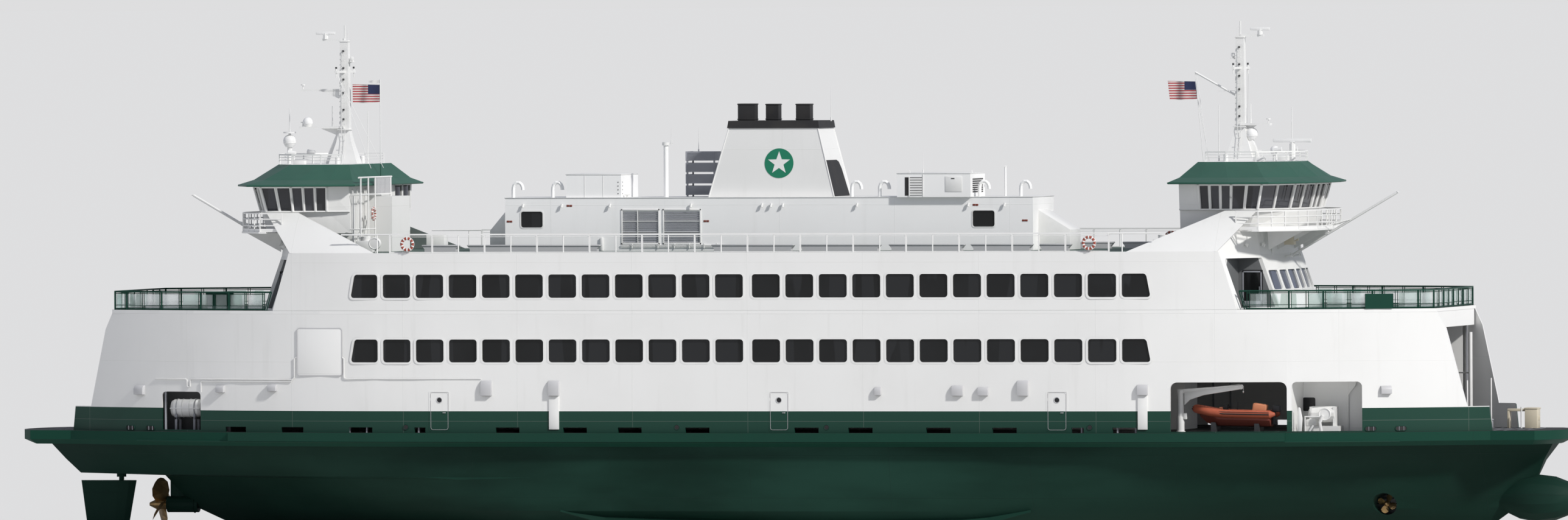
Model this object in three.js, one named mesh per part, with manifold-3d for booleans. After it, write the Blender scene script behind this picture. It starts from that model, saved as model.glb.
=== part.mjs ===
// Double-ended car ferry, a 1:10 scale model. Millimetres, +Z up.
// +X is forward, -Y starboard, the origin lies on the flat keel amidships.
// One metre of the ship is 100 mm here, so 975 is 9.75 m on the real vessel.
import * as THREE from 'three';
import { mergeVertices } from 'three/addons/utils/BufferGeometryUtils.js';
import Module from 'manifold-3d';

const wasm = await Module();
wasm.setup();

// Driving dimensions
const HULL_TIP = 4170; // half length at the car deck
const SIDE_HALF = 950; // half breadth of the side shell amidships
const END_HALF = 415; // half breadth of the side shell at the car deck openings
const PARALLEL = 1700; // half length of the straight middle body
const SHELL_END = 3710; // where the side shell has drawn in to END_HALF
const GUARD_OUT = 25; // how far the guard stands out past the side shell
const CAR_DECK = 560;
const SHELL_TOP = 1180;
const PASSENGER_DECK = 1198;
const SUN_DECK = 1500;
const HOUSE_TOP = 1778;
const WALL = 18; // side plating with its frames
const THIN = 12; // house and pilothouse walls
const SEAT = 0.3; // clearance between two pieces that meet
const SWING = 5; // clearance round a door leaf

// Colours
const WHITE = 0xe9e8e5;
const BAND_GREEN = 0x2b5040;
const HULL_GREEN = 0x1f3a30;
const ROOF_GREEN = 0x3a6250;
const BRONZE = 0x8c6a3c;
const BLACK = 0x1c1c1e;
const STEEL = 0x8d9094;
const ORANGE = 0xb0583a;
const GLASS_GREY = 0x3a3e42;

const ship = new THREE.Group();
const ENDS = [{ name: 'aft', e: -1 }, { name: 'fore', e: 1 }];
const SIDES = [{ name: 'starboard', s: -1 }, { name: 'port', s: 1 }];

// Solids: closed three.js geometries, joined and cut

function signedVolume(points, triangles) {
  let volume = 0;
  for (let i = 0; i < triangles.length; i += 3) {
    const [a, b, c] = [0, 1, 2].map((k) => new THREE.Vector3().fromArray(points, 3 * triangles[i + k]));
    volume += a.dot(b.cross(c));
  }
  return volume / 6;
}

function solid(geometry) {
  geometry.deleteAttribute('normal');
  geometry.deleteAttribute('uv');
  const merged = mergeVertices(geometry, 1e-4);
  const points = Float32Array.from(merged.attributes.position.array);
  const triangles = Uint32Array.from(merged.index.array);
  if (signedVolume(points, triangles) < 0) triangles.reverse();
  return new wasm.Manifold(new wasm.Mesh({ numProp: 3, vertProperties: points, triVerts: triangles }));
}

const join = (...solids) => solids.flat().reduce((sum, one) => sum.add(one));
const cut = (body, ...tools) => tools.flat().reduce((rest, tool) => rest.subtract(tool), body);

function place(name, body, colour, roughness = 0.5, metalness = 0) {
  const mesh = body.getMesh();
  const geometry = new THREE.BufferGeometry();
  geometry.setAttribute('position', new THREE.BufferAttribute(Float32Array.from(mesh.vertProperties), 3));
  geometry.setIndex(new THREE.BufferAttribute(Uint32Array.from(mesh.triVerts), 1));
  geometry.computeVertexNormals();
  const material = new THREE.MeshStandardMaterial({ color: colour, roughness, metalness });
  const piece = new THREE.Mesh(geometry, material);
  piece.name = name;
  ship.add(piece);
}

// A block between two x, two y and two z values, given in either order
function block(x0, x1, y0, y1, z0, z1) {
  const geometry = new THREE.BoxGeometry(Math.abs(x1 - x0), Math.abs(y1 - y0), Math.abs(z1 - z0));
  return solid(geometry.translate((x0 + x1) / 2, (y0 + y1) / 2, (z0 + z1) / 2));
}

// An outline pushed along one axis: 'z' takes (x, y), 'y' takes (x, z) and 'x' takes (y, z)
function prism(outline, axis, from, to) {
  const asShape = (points) => new THREE.Shape(points.map(([u, v]) => new THREE.Vector2(u, v)));
  const shape = outline instanceof THREE.Shape ? outline : asShape(outline);
  const options = { depth: to - from, bevelEnabled: false, curveSegments: 3 };
  const geometry = new THREE.ExtrudeGeometry(shape, options).translate(0, 0, from);
  const turn = new THREE.Matrix4();
  if (axis === 'y') turn.set(1, 0, 0, 0, 0, 0, 1, 0, 0, 1, 0, 0, 0, 0, 0, 1);
  if (axis === 'x') turn.set(0, 0, 1, 0, 1, 0, 0, 0, 0, 1, 0, 0, 0, 0, 0, 1);
  return solid(geometry.applyMatrix4(turn));
}

// A round bar between two points, or a cone where the second radius differs
function rod(from, to, radius, sides = 8, endRadius = radius) {
  const a = new THREE.Vector3(...from);
  const b = new THREE.Vector3(...to);
  const geometry = new THREE.CylinderGeometry(endRadius, radius, a.distanceTo(b), sides);
  const up = new THREE.Vector3(0, 1, 0);
  geometry.applyQuaternion(new THREE.Quaternion().setFromUnitVectors(up, b.clone().sub(a).normalize()));
  return solid(geometry.translate(...a.add(b).multiplyScalar(0.5).toArray()));
}

// A skin over rings of points, all with the same count, closed by a flat cap at each end
function loft(rings, capAxes = [0, 1]) {
  const count = rings[0].length;
  const indices = [];
  for (let r = 0; r < rings.length - 1; r++) {
    for (let i = 0; i < count; i++) {
      const j = (i + 1) % count;
      const [a, b, c, d] = [r * count + i, r * count + j, (r + 1) * count + j, (r + 1) * count + i];
      indices.push(a, b, c, a, c, d);
    }
  }
  const [u, v] = capAxes;
  const caps = [{ ring: 0, flip: true }, { ring: rings.length - 1, flip: false }];
  for (const { ring, flip } of caps) {
    const flat = rings[ring].map((p) => new THREE.Vector2(p[u], p[v]));
    const clockwise = THREE.ShapeUtils.area(flat) < 0;
    for (const face of THREE.ShapeUtils.triangulateShape(flat, [])) {
      const [a, b, c] = face.map((k) => ring * count + k);
      if (flip !== clockwise) indices.push(a, c, b);
      else indices.push(a, b, c);
    }
  }
  const geometry = new THREE.BufferGeometry();
  geometry.setAttribute('position', new THREE.Float32BufferAttribute(rings.flat(2), 3));
  geometry.setIndex(indices);
  return solid(geometry);
}

// Six-sided solid from four corners of one face and four of the opposite face
const hexa = (face, opposite) => {
  const indices = [0, 1, 2, 0, 2, 3, 4, 6, 5, 4, 7, 6];
  for (let i = 0; i < 4; i++) {
    const j = (i + 1) % 4;
    indices.push(i, i + 4, j + 4, i, j + 4, j);
  }
  const geometry = new THREE.BufferGeometry();
  geometry.setAttribute('position', new THREE.Float32BufferAttribute([...face, ...opposite].flat(), 3));
  geometry.setIndex(indices);
  return solid(geometry);
};

// A rectangle with its top corners rounded, for openings in the side
function archedOpening(x0, x1, z0, z1, radius) {
  const shape = new THREE.Shape();
  shape.moveTo(x0, z0);
  shape.lineTo(x1, z0);
  shape.lineTo(x1, z1 - radius);
  shape.absarc(x1 - radius, z1 - radius, radius, 0, Math.PI / 2, false);
  shape.absarc(x0 + radius, z1 - radius, radius, Math.PI / 2, Math.PI, false);
  return shape;
}

// Plan of the ship: half breadth of the side shell at a place along the ship
function shellHalf(x) {
  const s = Math.max(0, (Math.abs(x) - PARALLEL) / (SHELL_END - PARALLEL));
  return SIDE_HALF - (SIDE_HALF - END_HALF) * s ** 2.2;
}

const PLAN_STATIONS = [0, 1700, 2020, 2320, 2590, 2840, 3060, 3270, 3480, 3680];
const bothWays = (stations) => [...stations.slice(1).map((x) => -x).reverse(), ...stations];

// The strip of plan that a side wall covers, from the outer face to the inner
function sidePlan(side, stations, thickness) {
  const line = bothWays(stations);
  const outer = line.map((x) => [x, side * shellHalf(x)]);
  const inner = line.map((x) => [x, side * (shellHalf(x) - thickness)]).reverse();
  return [...outer, ...inner];
}

// Hull

const GUARD_BAND = { top: CAR_DECK, low: 512, foot: 487 }; // heights of the guard's faces
const GUARD_SHOULDER = { x: 4060, y: 370 };

// Plan of the guard, outset from the side shell, with a blunt rounded tip at each end
function guardPlan(inset) {
  const half = [...PLAN_STATIONS, 3830].map((x) => [x, shellHalf(x) + GUARD_OUT * (1 + x / HULL_TIP) - inset]);
  half.push([GUARD_SHOULDER.x - inset / 2, GUARD_SHOULDER.y - inset]);
  half.push([HULL_TIP - 50 - inset, 270 - inset]);
  half.push([HULL_TIP - 12 - inset, 140 - inset / 2]);
  half.push([HULL_TIP - inset, 0]);
  const quarters = [[1, 1], [-1, 1], [-1, -1], [1, -1]];
  return quarters.flatMap(([sx, sy], q) => {
    const run = half.slice(q % 2 === 0 ? 0 : 1, -1).map(([x, y]) => [sx * x, sy * y]);
    if (q % 2 === 0) return [...run, [sx * (HULL_TIP - inset), 0]].reverse();
    return run;
  });
}

// Waterlines of the underwater body: height, where it ends aft and forward, half breadth
// amidships, half length of its parallel part, fullness of its ends, half breadth of its tips
const WATERLINES = [
  { z: 0, aft: 2950, fore: 3600, half: 560, parallel: 500, fullness: 1.6, tip: 8 },
  { z: 12, aft: 2975, fore: 3640, half: 640, parallel: 600, fullness: 1.6, tip: 8 },
  { z: 50, aft: 3040, fore: 3740, half: 760, parallel: 800, fullness: 1.6, tip: 9 },
  { z: 150, aft: 3262, fore: 3880, half: 865, parallel: 1000, fullness: 1.75, tip: 10 },
  { z: 313, aft: 3420, fore: 4000, half: 905, parallel: 1300, fullness: 1.95, tip: 14 },
  { z: 326, aft: 3885, fore: 4008, half: 908, parallel: 1300, fullness: 1.95, tip: 15 },
  { z: 400, aft: 3960, fore: 4040, half: 922, parallel: 1450, fullness: 2.1, tip: 35 },
  { z: 490, aft: 4030, fore: 4100, half: 933, parallel: 1600, fullness: 2.2, tip: 90 },
];
const WATERLINE_STEPS = [-1, -0.96, -0.9, -0.82, -0.72, -0.6, -0.46, -0.3, 0, 0.3, 0.46, 0.6, 0.72, 0.82, 0.9, 0.96, 1];

function waterline({ z, aft, fore, half, parallel, fullness, tip }) {
  const halfAt = (x) => {
    const end = x < 0 ? aft : fore;
    const s = Math.max(0, (Math.abs(x) - parallel) / (end - parallel));
    return tip + (half - tip) * (1 - s ** fullness);
  };
  const line = WATERLINE_STEPS.map((t) => (t < 0 ? t * aft : t * fore));
  const starboard = line.map((x) => [x, -halfAt(x), z]);
  const port = line.map((x) => [x, halfAt(x), z]).reverse();
  return [...starboard, ...port];
}

const BULB = { x: 4000, z: 200, radius: 125, reach: 230, root: 3560 };
const SHAFT_Z = 159;
const BOSSING = { tip: -3410, root: -3240, radius: 43 };
const TUNNEL = { x: 3255, z: 178, radius: 58 };
const THRUSTER = { y: -262, hub: 15, length: 24, radius: 50 };
const RUDDER = { stock: -3665, top: 298, foot: 30 };

function bulb() {
  const profile = [new THREE.Vector2(0, BULB.root)];
  const steps = [[0.55, 0.6], [0.85, 0.78], [1, 1]];
  for (const [r, t] of steps) profile.push(new THREE.Vector2(BULB.radius * r, BULB.root + (BULB.x - BULB.root) * t));
  for (const degrees of [25, 45, 65, 80]) {
    const a = THREE.MathUtils.degToRad(degrees);
    profile.push(new THREE.Vector2(BULB.radius * Math.cos(a), BULB.x + BULB.reach * Math.sin(a)));
  }
  profile.push(new THREE.Vector2(0, BULB.x + BULB.reach));
  const geometry = new THREE.LatheGeometry(profile, 14).rotateZ(-Math.PI / 2);
  return solid(geometry.translate(0, 0, BULB.z));
}

function hull() {
  const guard = loft([
    guardPlan(45).map(([x, y]) => [x, y, GUARD_BAND.foot]),
    guardPlan(0).map(([x, y]) => [x, y, GUARD_BAND.low]),
    guardPlan(0).map(([x, y]) => [x, y, GUARD_BAND.top]),
  ]);
  const body = loft(WATERLINES.map(waterline));
  const bossing = rod([BOSSING.tip, 0, SHAFT_Z], [BOSSING.root, 0, SHAFT_Z], BOSSING.radius, 14);
  const strut = loft([SHAFT_Z, 320].map((z) => [
    [-3396, 0, z], [-3350, -11, z], [-3300, 0, z], [-3350, 11, z],
  ]));
  const bearing = rod([RUDDER.stock, 0, 304], [RUDDER.stock, 0, 340], 26, 12);
  const tunnel = rod([TUNNEL.x, -600, TUNNEL.z], [TUNNEL.x, 600, TUNNEL.z], TUNNEL.radius, 20);
  const shell = cut(join(guard, body, bulb(), bossing, strut, bearing), tunnel);
  const { x, z, radius } = TUNNEL;
  const gear = rod([x, THRUSTER.y + 8, z], [x, THRUSTER.y + 62, z], 15, 12, 9);
  const leg = rod([x, THRUSTER.y + 30, z], [x, THRUSTER.y + 30, z + radius + 6], 8, 8);
  place('hull', join(shell, gear, leg), HULL_GREEN, 0.55);
}

// Screws, rudder and keels

// One blade: a thin twisted plate from root to tip, rising along +Z about the X axis
function blade(rootRadius, tipRadius, chord, thickness, twist) {
  const sections = [[0, 0.55], [0.35, 0.95], [0.7, 1], [0.92, 0.62], [1, 0.25]];
  return loft(sections.map(([t, width], k) => {
    const z = rootRadius + (tipRadius - rootRadius) * t;
    const angle = twist * (1 - 0.55 * t);
    const halfChord = (chord * width) / 2;
    const halfThick = (thickness * (1 - 0.6 * t)) / 2;
    const corners = [[-halfChord, 0], [0, -halfThick], [halfChord, 0], [0, halfThick]];
    return corners.map(([c, h]) => [
      c * Math.sin(angle) + h * Math.cos(angle) - k * 1.2,
      c * Math.cos(angle) - h * Math.sin(angle),
      z,
    ]);
  }));
}

function screw(count, hubRadius, hubLength, tipRadius, chord, thickness) {
  const hub = rod([hubLength / 2, 0, 0], [-hubLength / 2, 0, 0], hubRadius, 14);
  const cone = rod([-hubLength / 2, 0, 0], [-hubLength * 1.1, 0, 0], hubRadius, 14, hubRadius * 0.35);
  const one = blade(hubRadius * 0.7, tipRadius, chord, thickness, 0.85);
  const turn = (k) => one.rotate([(360 * k) / count + 20, 0, 0]);
  return join(hub, cone, Array.from({ length: count }, (_, k) => turn(k)));
}

// Bilge keel: station, height on the hull, how far it stands out
const BILGE_KEEL = [[-1035, 150, 6], [-800, 120, 36], [200, 92, 38], [1250, 120, 36], [1480, 150, 6]];

// Half breadth of the hull at a station and height, between its waterlines
function hullHalf(x, z) {
  const above = WATERLINES.findIndex((line) => line.z >= z);
  const [lower, upper] = [WATERLINES[above - 1], WATERLINES[above]];
  const at = ({ aft, fore, half, parallel, fullness, tip }) => {
    const s = Math.max(0, (Math.abs(x) - parallel) / ((x < 0 ? aft : fore) - parallel));
    return tip + (half - tip) * (1 - s ** fullness);
  };
  return at(lower) + ((at(upper) - at(lower)) * (z - lower.z)) / (upper.z - lower.z);
}

const PROPELLER = { blades: 4, radius: 146, hub: 27, length: 62 };

function underwaterGear() {
  const { blades, radius, hub, length } = PROPELLER;
  const propeller = screw(blades, hub, length, radius, 118, 12);
  const at = BOSSING.tip - SEAT - length / 2;
  place('propeller', propeller.translate([at, 0, SHAFT_Z]), BRONZE, 0.35, 0.85);

  const tunnelScrew = screw(4, THRUSTER.hub, THRUSTER.length, THRUSTER.radius, 42, 6).rotate([0, 0, 90]);
  const hubFace = THRUSTER.y + 8 - SEAT - THRUSTER.length / 2;
  place('thruster_propeller', tunnelScrew.translate([TUNNEL.x, hubFace, TUNNEL.z]), BRONZE, 0.35, 0.85);

  // Rudder: a foil that tapers downwards, hung from its stock
  const foil = (z, lead, trail, thick) => {
    const chord = lead - trail;
    return [[lead, 0], [lead - 0.12 * chord, -0.8 * thick], [lead - 0.32 * chord, -thick],
      [lead - 0.7 * chord, -0.55 * thick], [trail, -2], [trail, 2], [lead - 0.7 * chord, 0.55 * thick],
      [lead - 0.32 * chord, thick], [lead - 0.12 * chord, 0.8 * thick]].map(([x, y]) => [x, y, z]);
  };
  const plate = loft([foil(RUDDER.foot, -3628, -3852, 15), foil(RUDDER.top - 12, -3582, -3886, 21)]);
  const stock = rod([RUDDER.stock, 0, RUDDER.top - 40], [RUDDER.stock, 0, 304 - SEAT], 14, 12);
  place('rudder', join(plate, stock), HULL_GREEN, 0.55);

  // Bilge keels: fins square to the turn of the bilge
  const bilge = loft(WATERLINES.slice(0, 5).map((line) => waterline({ ...line, half: line.half + SEAT })));
  for (const { name, s } of SIDES) {
    const sections = BILGE_KEEL.map(([x, z, depth]) => {
      const y = hullHalf(x, z);
      return [[y - 30, z + 33], [y - 36, z + 27], [y + depth - 4, z - depth - 1], [y + depth, z - depth + 3]]
        .map(([py, pz]) => [x, s * py, pz]);
    });
    place(`bilge_keel_${name}`, cut(loft(sections, [1, 2]), bilge), HULL_GREEN, 0.55);
  }
}

// Side shells with their windows, doors, openings and freeing ports

// Window rows: heights and the rhythm of the panes to one side of midship
const WINDOW = { first: 22.3, pitch: 179.5, width: 153.5, count: 12, slant: 23 };
const LOWER_ROW = { z0: 927, z1: 1049 };
const UPPER_ROW = { z0: 1264, z1: 1388 };
const SHELL_DOORS = [
  { name: 'aft', x0: -1716, x1: -1610 },
  { name: 'mid', x0: 114, x1: 220 },
  { name: 'fore', x0: 1599, x1: 1707 },
];
const DOOR_HEIGHT = { z0: 570, z1: 776 };
const RAFT_PORT = { x0: -3255, x1: -3020, z0: 570, z1: 770, radius: 22 };
const BOAT_PORT = { x0: 2247, x1: 2840, z0: 566, z1: 822, radius: 36 };
const MOORING_PORT = { x0: 2863, x1: 3210, z0: 566, z1: 822, radius: 26 };
const FREEING_HEIGHT = 588;
// Freeing ports: centre along the ship and length
const FREEING_PORTS = [
  [-2810, 120], [-2480, 125], [-2095, 130], [-1770, 60], [-1295, 128], [-931, 128], [-636, 128],
  [-272, 130], [314, 130], [603, 130], [1020, 130], [1373, 130], [1762, 65], [2010, 128],
];

function windowRow({ z0, z1 }, s) {
  const { first, pitch, width, count, slant } = WINDOW;
  const cutters = [];
  for (const e of [-1, 1]) {
    for (let i = 0; i < count; i++) {
      const x0 = first + i * pitch;
      const x1 = x0 + width;
      const x1Top = i === count - 1 ? x1 - slant : x1;
      const outline = [[e * x0, z0], [e * x1, z0], [e * x1Top, z1], [e * x0, z1]];
      const reach = [shellHalf(x1) - 60, SIDE_HALF + 40].map((y) => s * y).sort((a, b) => a - b);
      cutters.push(prism(outline, 'y', ...reach));
    }
  }
  return cutters;
}

// Side view of the shell: bulwark, plating that leans in at each end, deck line
const SHELL_OUTLINE = [
  [-3830, CAR_DECK + SEAT], [3830, CAR_DECK + SEAT], [3815, 688], [3712, 688], [3614, 1095], [3570, SHELL_TOP],
  [-3570, SHELL_TOP], [-3614, 1095], [-3712, 688], [-3815, 688],
];

function sideShell(name, s) {
  const through = (outline) => prism(outline, 'y', ...[s * 300, s * 1000].sort((a, b) => a - b));
  const mirror = s < 0 ? 1 : -1; // the port side is the starboard side turned end for end
  const opening = ({ x0, x1, z0, z1, radius }) => {
    const [a, b] = [mirror * x0, mirror * x1].sort((p, q) => p - q);
    return through(archedOpening(a, b, z0, z1, radius));
  };
  const ribbon = prism(sidePlan(s, [...PLAN_STATIONS, 3860], WALL), 'z', CAR_DECK, SHELL_TOP + 20);
  const wall = ribbon.intersect(through(SHELL_OUTLINE));
  const doors = SHELL_DOORS.map(({ x0, x1 }) => block(x0, x1, s * 900, s * 1000, DOOR_HEIGHT.z0, DOOR_HEIGHT.z1));
  const scuppers = FREEING_PORTS.map(([x, length]) => {
    const [x0, x1] = [mirror * x - length / 2, mirror * x + length / 2];
    return through([[x0, CAR_DECK - 5], [x1, CAR_DECK - 5], [x1, FREEING_HEIGHT], [x0, FREEING_HEIGHT]]);
  });
  const ports = s < 0 ? [RAFT_PORT, BOAT_PORT, MOORING_PORT] : [RAFT_PORT, MOORING_PORT];
  const body = cut(wall, windowRow(LOWER_ROW, s), doors, scuppers, ports.map(opening));
  place(`side_shell_${name}`, body, WHITE, 0.45);

  for (const door of SHELL_DOORS) {
    const leaf = block(door.x0 + SWING, door.x1 - SWING, s * (SIDE_HALF - WALL), s * SIDE_HALF,
      DOOR_HEIGHT.z0 + SWING, DOOR_HEIGHT.z1 - SWING);
    const pins = [0.2, 0.8].map((t) => {
      const z = DOOR_HEIGHT.z0 + t * (DOOR_HEIGHT.z1 - DOOR_HEIGHT.z0);
      return block(door.x0 + SEAT, door.x0 + SWING + 2, s * (SIDE_HALF - 3), s * SIDE_HALF, z - 8, z + 8);
    });
    place(`shell_door_${name}_${door.name}`, join(leaf, pins), WHITE, 0.45);
  }

  const strip = bothWays(PLAN_STATIONS.slice(0, 6));
  const guardAt = (x) => shellHalf(x) + GUARD_OUT * (1 + Math.abs(x) / HULL_TIP);
  const outer = strip.map((x) => [x, s * (guardAt(x) + 16)]);
  const inner = strip.map((x) => [x, s * (guardAt(x) + SEAT)]).reverse();
  place(`fender_${name}`, prism([...outer, ...inner], 'z', GUARD_BAND.low + 2, CAR_DECK), BAND_GREEN, 0.5);
}

// Car deck casing and the decks above it

const SUN_DECK_END = 2450;
const MOORING_WALLS = { x0: 2848, x1: 3500, y: 478, beam: 1150 };
const SUN_DECK_TOP = SUN_DECK - 1; // just below the cabin sides' heads

function decks() {
  const casing = block(-2150, 2150, -150, 150, CAR_DECK + SEAT, SHELL_TOP);
  place('centre_casing', casing, WHITE, 0.5);

  const half = [...PLAN_STATIONS.slice(0, -1), 3570];
  const line = bothWays(half);
  const plan = [...line.map((x) => [x, -shellHalf(x)]), ...line.map((x) => [x, shellHalf(x)]).reverse()];
  const slab = prism(plan, 'z', SHELL_TOP + SEAT, PASSENGER_DECK);
  const lintels = ENDS.map(({ e }) => {
    const inner = shellHalf(3590) - WALL - 3;
    return block(e * 3545, e * 3568, -inner, inner, 1096, SHELL_TOP + 4);
  });
  place('passenger_deck', join(slab, lintels), WHITE, 0.5);

  // Inner walls that part the mooring spaces from the car lanes, tied by a beam under the deck
  const { x0, x1, y, beam } = MOORING_WALLS;
  const outboard = shellHalf(x0) - WALL - 8;
  const corner = (s) => [[x0, s * y], [x1, s * y], [x1, s * (y + THIN)], [x0 + THIN, s * (y + THIN)],
    [x0 + THIN, s * outboard], [x0, s * outboard]];
  for (const { name, e } of ENDS) {
    const walls = SIDES.map(({ s }) =>
      prism(corner(s).map(([px, py]) => [e * px, py]), 'z', CAR_DECK + SEAT, SHELL_TOP));
    const tie = block(e * x0, e * (x0 + THIN), -y - 4, y + 4, beam, SHELL_TOP);
    place(`mooring_walls_${name}`, join(walls, tie), WHITE, 0.5);
  }

  const sunLine = bothWays([...PLAN_STATIONS.slice(0, 4), SUN_DECK_END]);
  const inside = WALL + SEAT;
  const sunHalf = (x) => shellHalf(x) - inside - (Math.abs(x) === SUN_DECK_END ? 7 : 0);
  const sunPlan = [...sunLine.map((x) => [x, -sunHalf(x)]), ...sunLine.map((x) => [x, sunHalf(x)]).reverse()];
  place('sun_deck', prism(sunPlan, 'z', SUN_DECK - 15, SUN_DECK_TOP), WHITE, 0.5);
}

// Cabin on the passenger deck

const CORNER_HALF = 885; // half breadth where the cabin's side meets its bowed front
const FRONT = { foot: 2780, top: 2680, kneeZ: 1480, topZ: 1600 };
const SETBACK = [[0, 0], [300, 15], [500, 42], [CORNER_HALF, 200]];
const ALCOVE = { x: 2520, y0: 500, y1: 835, z0: 1206, z1: 1470 };
const CABIN_DOOR = { x0: 2540, x1: 2650, z0: 1206, z1: 1398 };
const WING = { lowX: 2020, rootX: 2490, sillX0: 2495, sillX1: 2665, sillY: 700, sillZ: 1709 };

// Outer corners of the plating that rises from the cabin's side to a pilothouse sill
function wingFace(e, s) {
  return [
    [e * WING.lowX, s * (shellHalf(WING.lowX) - 1), SUN_DECK - 0.6],
    [e * WING.rootX, s * (shellHalf(WING.rootX) - 1), SUN_DECK - 0.6],
    [e * WING.sillX1, s * WING.sillY, WING.sillZ],
    [e * WING.sillX0, s * WING.sillY, WING.sillZ],
  ];
}

function cabinSide(name, s) {
  const ribbon = prism(sidePlan(s, PLAN_STATIONS.slice(0, 5), WALL), 'z', PASSENGER_DECK + SEAT, SUN_DECK);
  const outline = [[-2590, PASSENGER_DECK], [2590, PASSENGER_DECK], [2495, SUN_DECK + 5], [-2495, SUN_DECK + 5]];
  const through = prism(outline, 'y', ...[s * 700, s * 1000].sort((a, b) => a - b));
  const wings = ENDS.map(({ e }) => {
    const outer = wingFace(e, s);
    return hexa(outer, outer.map(([x, y, z]) => [x, y - s * WALL, z]));
  });
  place(`cabin_side_${name}`, cut(join(ribbon.intersect(through), wings), windowRow(UPPER_ROW, s)), WHITE, 0.45);
}

function cabinFront(name, e) {
  const plan = [...SETBACK.slice(1).reverse().map(([y, back]) => [-y, back]), ...SETBACK];
  const rings = (inset) => [
    { z: PASSENGER_DECK + SEAT, x: FRONT.foot },
    { z: FRONT.kneeZ, x: FRONT.top },
    { z: FRONT.topZ, x: FRONT.top - 20 },
  ].map(({ z, x }) => [...plan.map(([y, back]) => [e * (x - back - inset), y, z]),
    ...plan.map(([y, back]) => [e * (x - back - inset - WALL), y, z]).reverse()]);
  const wall = loft(rings(0));
  const windows = [-2.5, -1.5, -0.5, 0.5, 1.5, 2.5].map((k) => {
    const middle = k * 164;
    return block(e * 2560, e * 2900, middle - 68, middle + 68, 1295, 1397);
  });
  const { x, y0, y1, z0, z1 } = ALCOVE;
  const parts = SIDES.flatMap(({ s }) => {
    const back = block(e * x, e * (x - THIN), s * (y0 - THIN), s * (y1 - 3), PASSENGER_DECK + SEAT, z1);
    const inner = block(e * (x - THIN), e * 2760, s * y0, s * (y0 - THIN), PASSENGER_DECK + SEAT, z1);
    const ceiling = block(e * (x - THIN), e * 2680, s * (y0 - THIN), s * (y1 - 3), z1, z1 + THIN);
    return [back, inner, ceiling];
  });
  const envelope = loft(rings(0).map((ring) => {
    const face = ring.slice(0, plan.length);
    return [...face, ...face.map(([, y, z]) => [e * 2300, y, z]).reverse()];
  }));
  const mouths = SIDES.map(({ s }) => block(e * x, e * 2900, s * y0, s * (y1 - 20), z0, z1 - 8));
  const doorways = SIDES.map(({ s }) => block(e * CABIN_DOOR.x0, e * CABIN_DOOR.x1, s * (y0 - 40), s * (y0 + 5),
    CABIN_DOOR.z0, CABIN_DOOR.z1));
  const besides = SIDES.flatMap(({ s }) => {
    const inner = PLAN_STATIONS.slice(3, 6).map((px) => [e * px, s * (shellHalf(px) - WALL - SEAT)]);
    const wing = wingFace(e, s).map(([px, py, pz]) => [px, py - s * (WALL + SEAT), pz]);
    return [
      prism([...inner, [e * 2840, s * 1000], [e * 2320, s * 1000]], 'z', PASSENGER_DECK, SUN_DECK),
      hexa(wing, wing.map(([px, py, pz]) => [px, py + s * 250, pz])),
    ];
  });
  const plated = join(wall, parts.map((part) => part.intersect(envelope)));
  const whole = cut(plated, windows, mouths, doorways, besides);
  place(`cabin_front_${name}`, whole, WHITE, 0.45);

  for (const side of SIDES) {
    const { s } = side;
    const leaf = block(e * (CABIN_DOOR.x0 + SWING), e * (CABIN_DOOR.x1 - SWING), s * (y0 - THIN), s * y0,
      CABIN_DOOR.z0 + SWING, CABIN_DOOR.z1 - SWING);
    const hinges = [0.2, 0.8].map((t) => {
      const z = CABIN_DOOR.z0 + t * (CABIN_DOOR.z1 - CABIN_DOOR.z0);
      return block(e * (CABIN_DOOR.x0 + SEAT), e * (CABIN_DOOR.x0 + SWING + 2), s * (y0 - 3), s * y0, z - 7, z + 7);
    });
    place(`cabin_door_${name}_${side.name}`, join(leaf, hinges), GLASS_GREY, 0.3);
  }
}

// House on the sun deck, funnel and machinery

const HOUSE = { x0: -1490, x1: 1363, half: 240 };
const HOUSE_WINDOWS = [[-1345, 120], [1098, 120]]; // centre along the ship and width
const LOUVRES = [[-755, 195], [-530, 195]];
const GOOSENECKS = [-1455, -1240, 380, 530, 1068, 1290];

// A swan-necked air pipe that bends over towards the fore end
function gooseneck(x, y, base) {
  const path = new THREE.CurvePath();
  const bend = new THREE.CubicBezierCurve3(
    new THREE.Vector3(x, y, base + 45), new THREE.Vector3(x, y, base + 95),
    new THREE.Vector3(x + 52, y, base + 95), new THREE.Vector3(x + 52, y, base + 42));
  path.add(new THREE.LineCurve3(new THREE.Vector3(x, y, base - 4), new THREE.Vector3(x, y, base + 45)));
  path.add(bend);
  const section = new THREE.Shape(Array.from({ length: 6 }, (_, k) => {
    const a = (Math.PI * k) / 3;
    return new THREE.Vector2(10 * Math.cos(a), 10 * Math.sin(a));
  }));
  return solid(new THREE.ExtrudeGeometry(section, { extrudePath: path, steps: 10 }));
}

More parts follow.
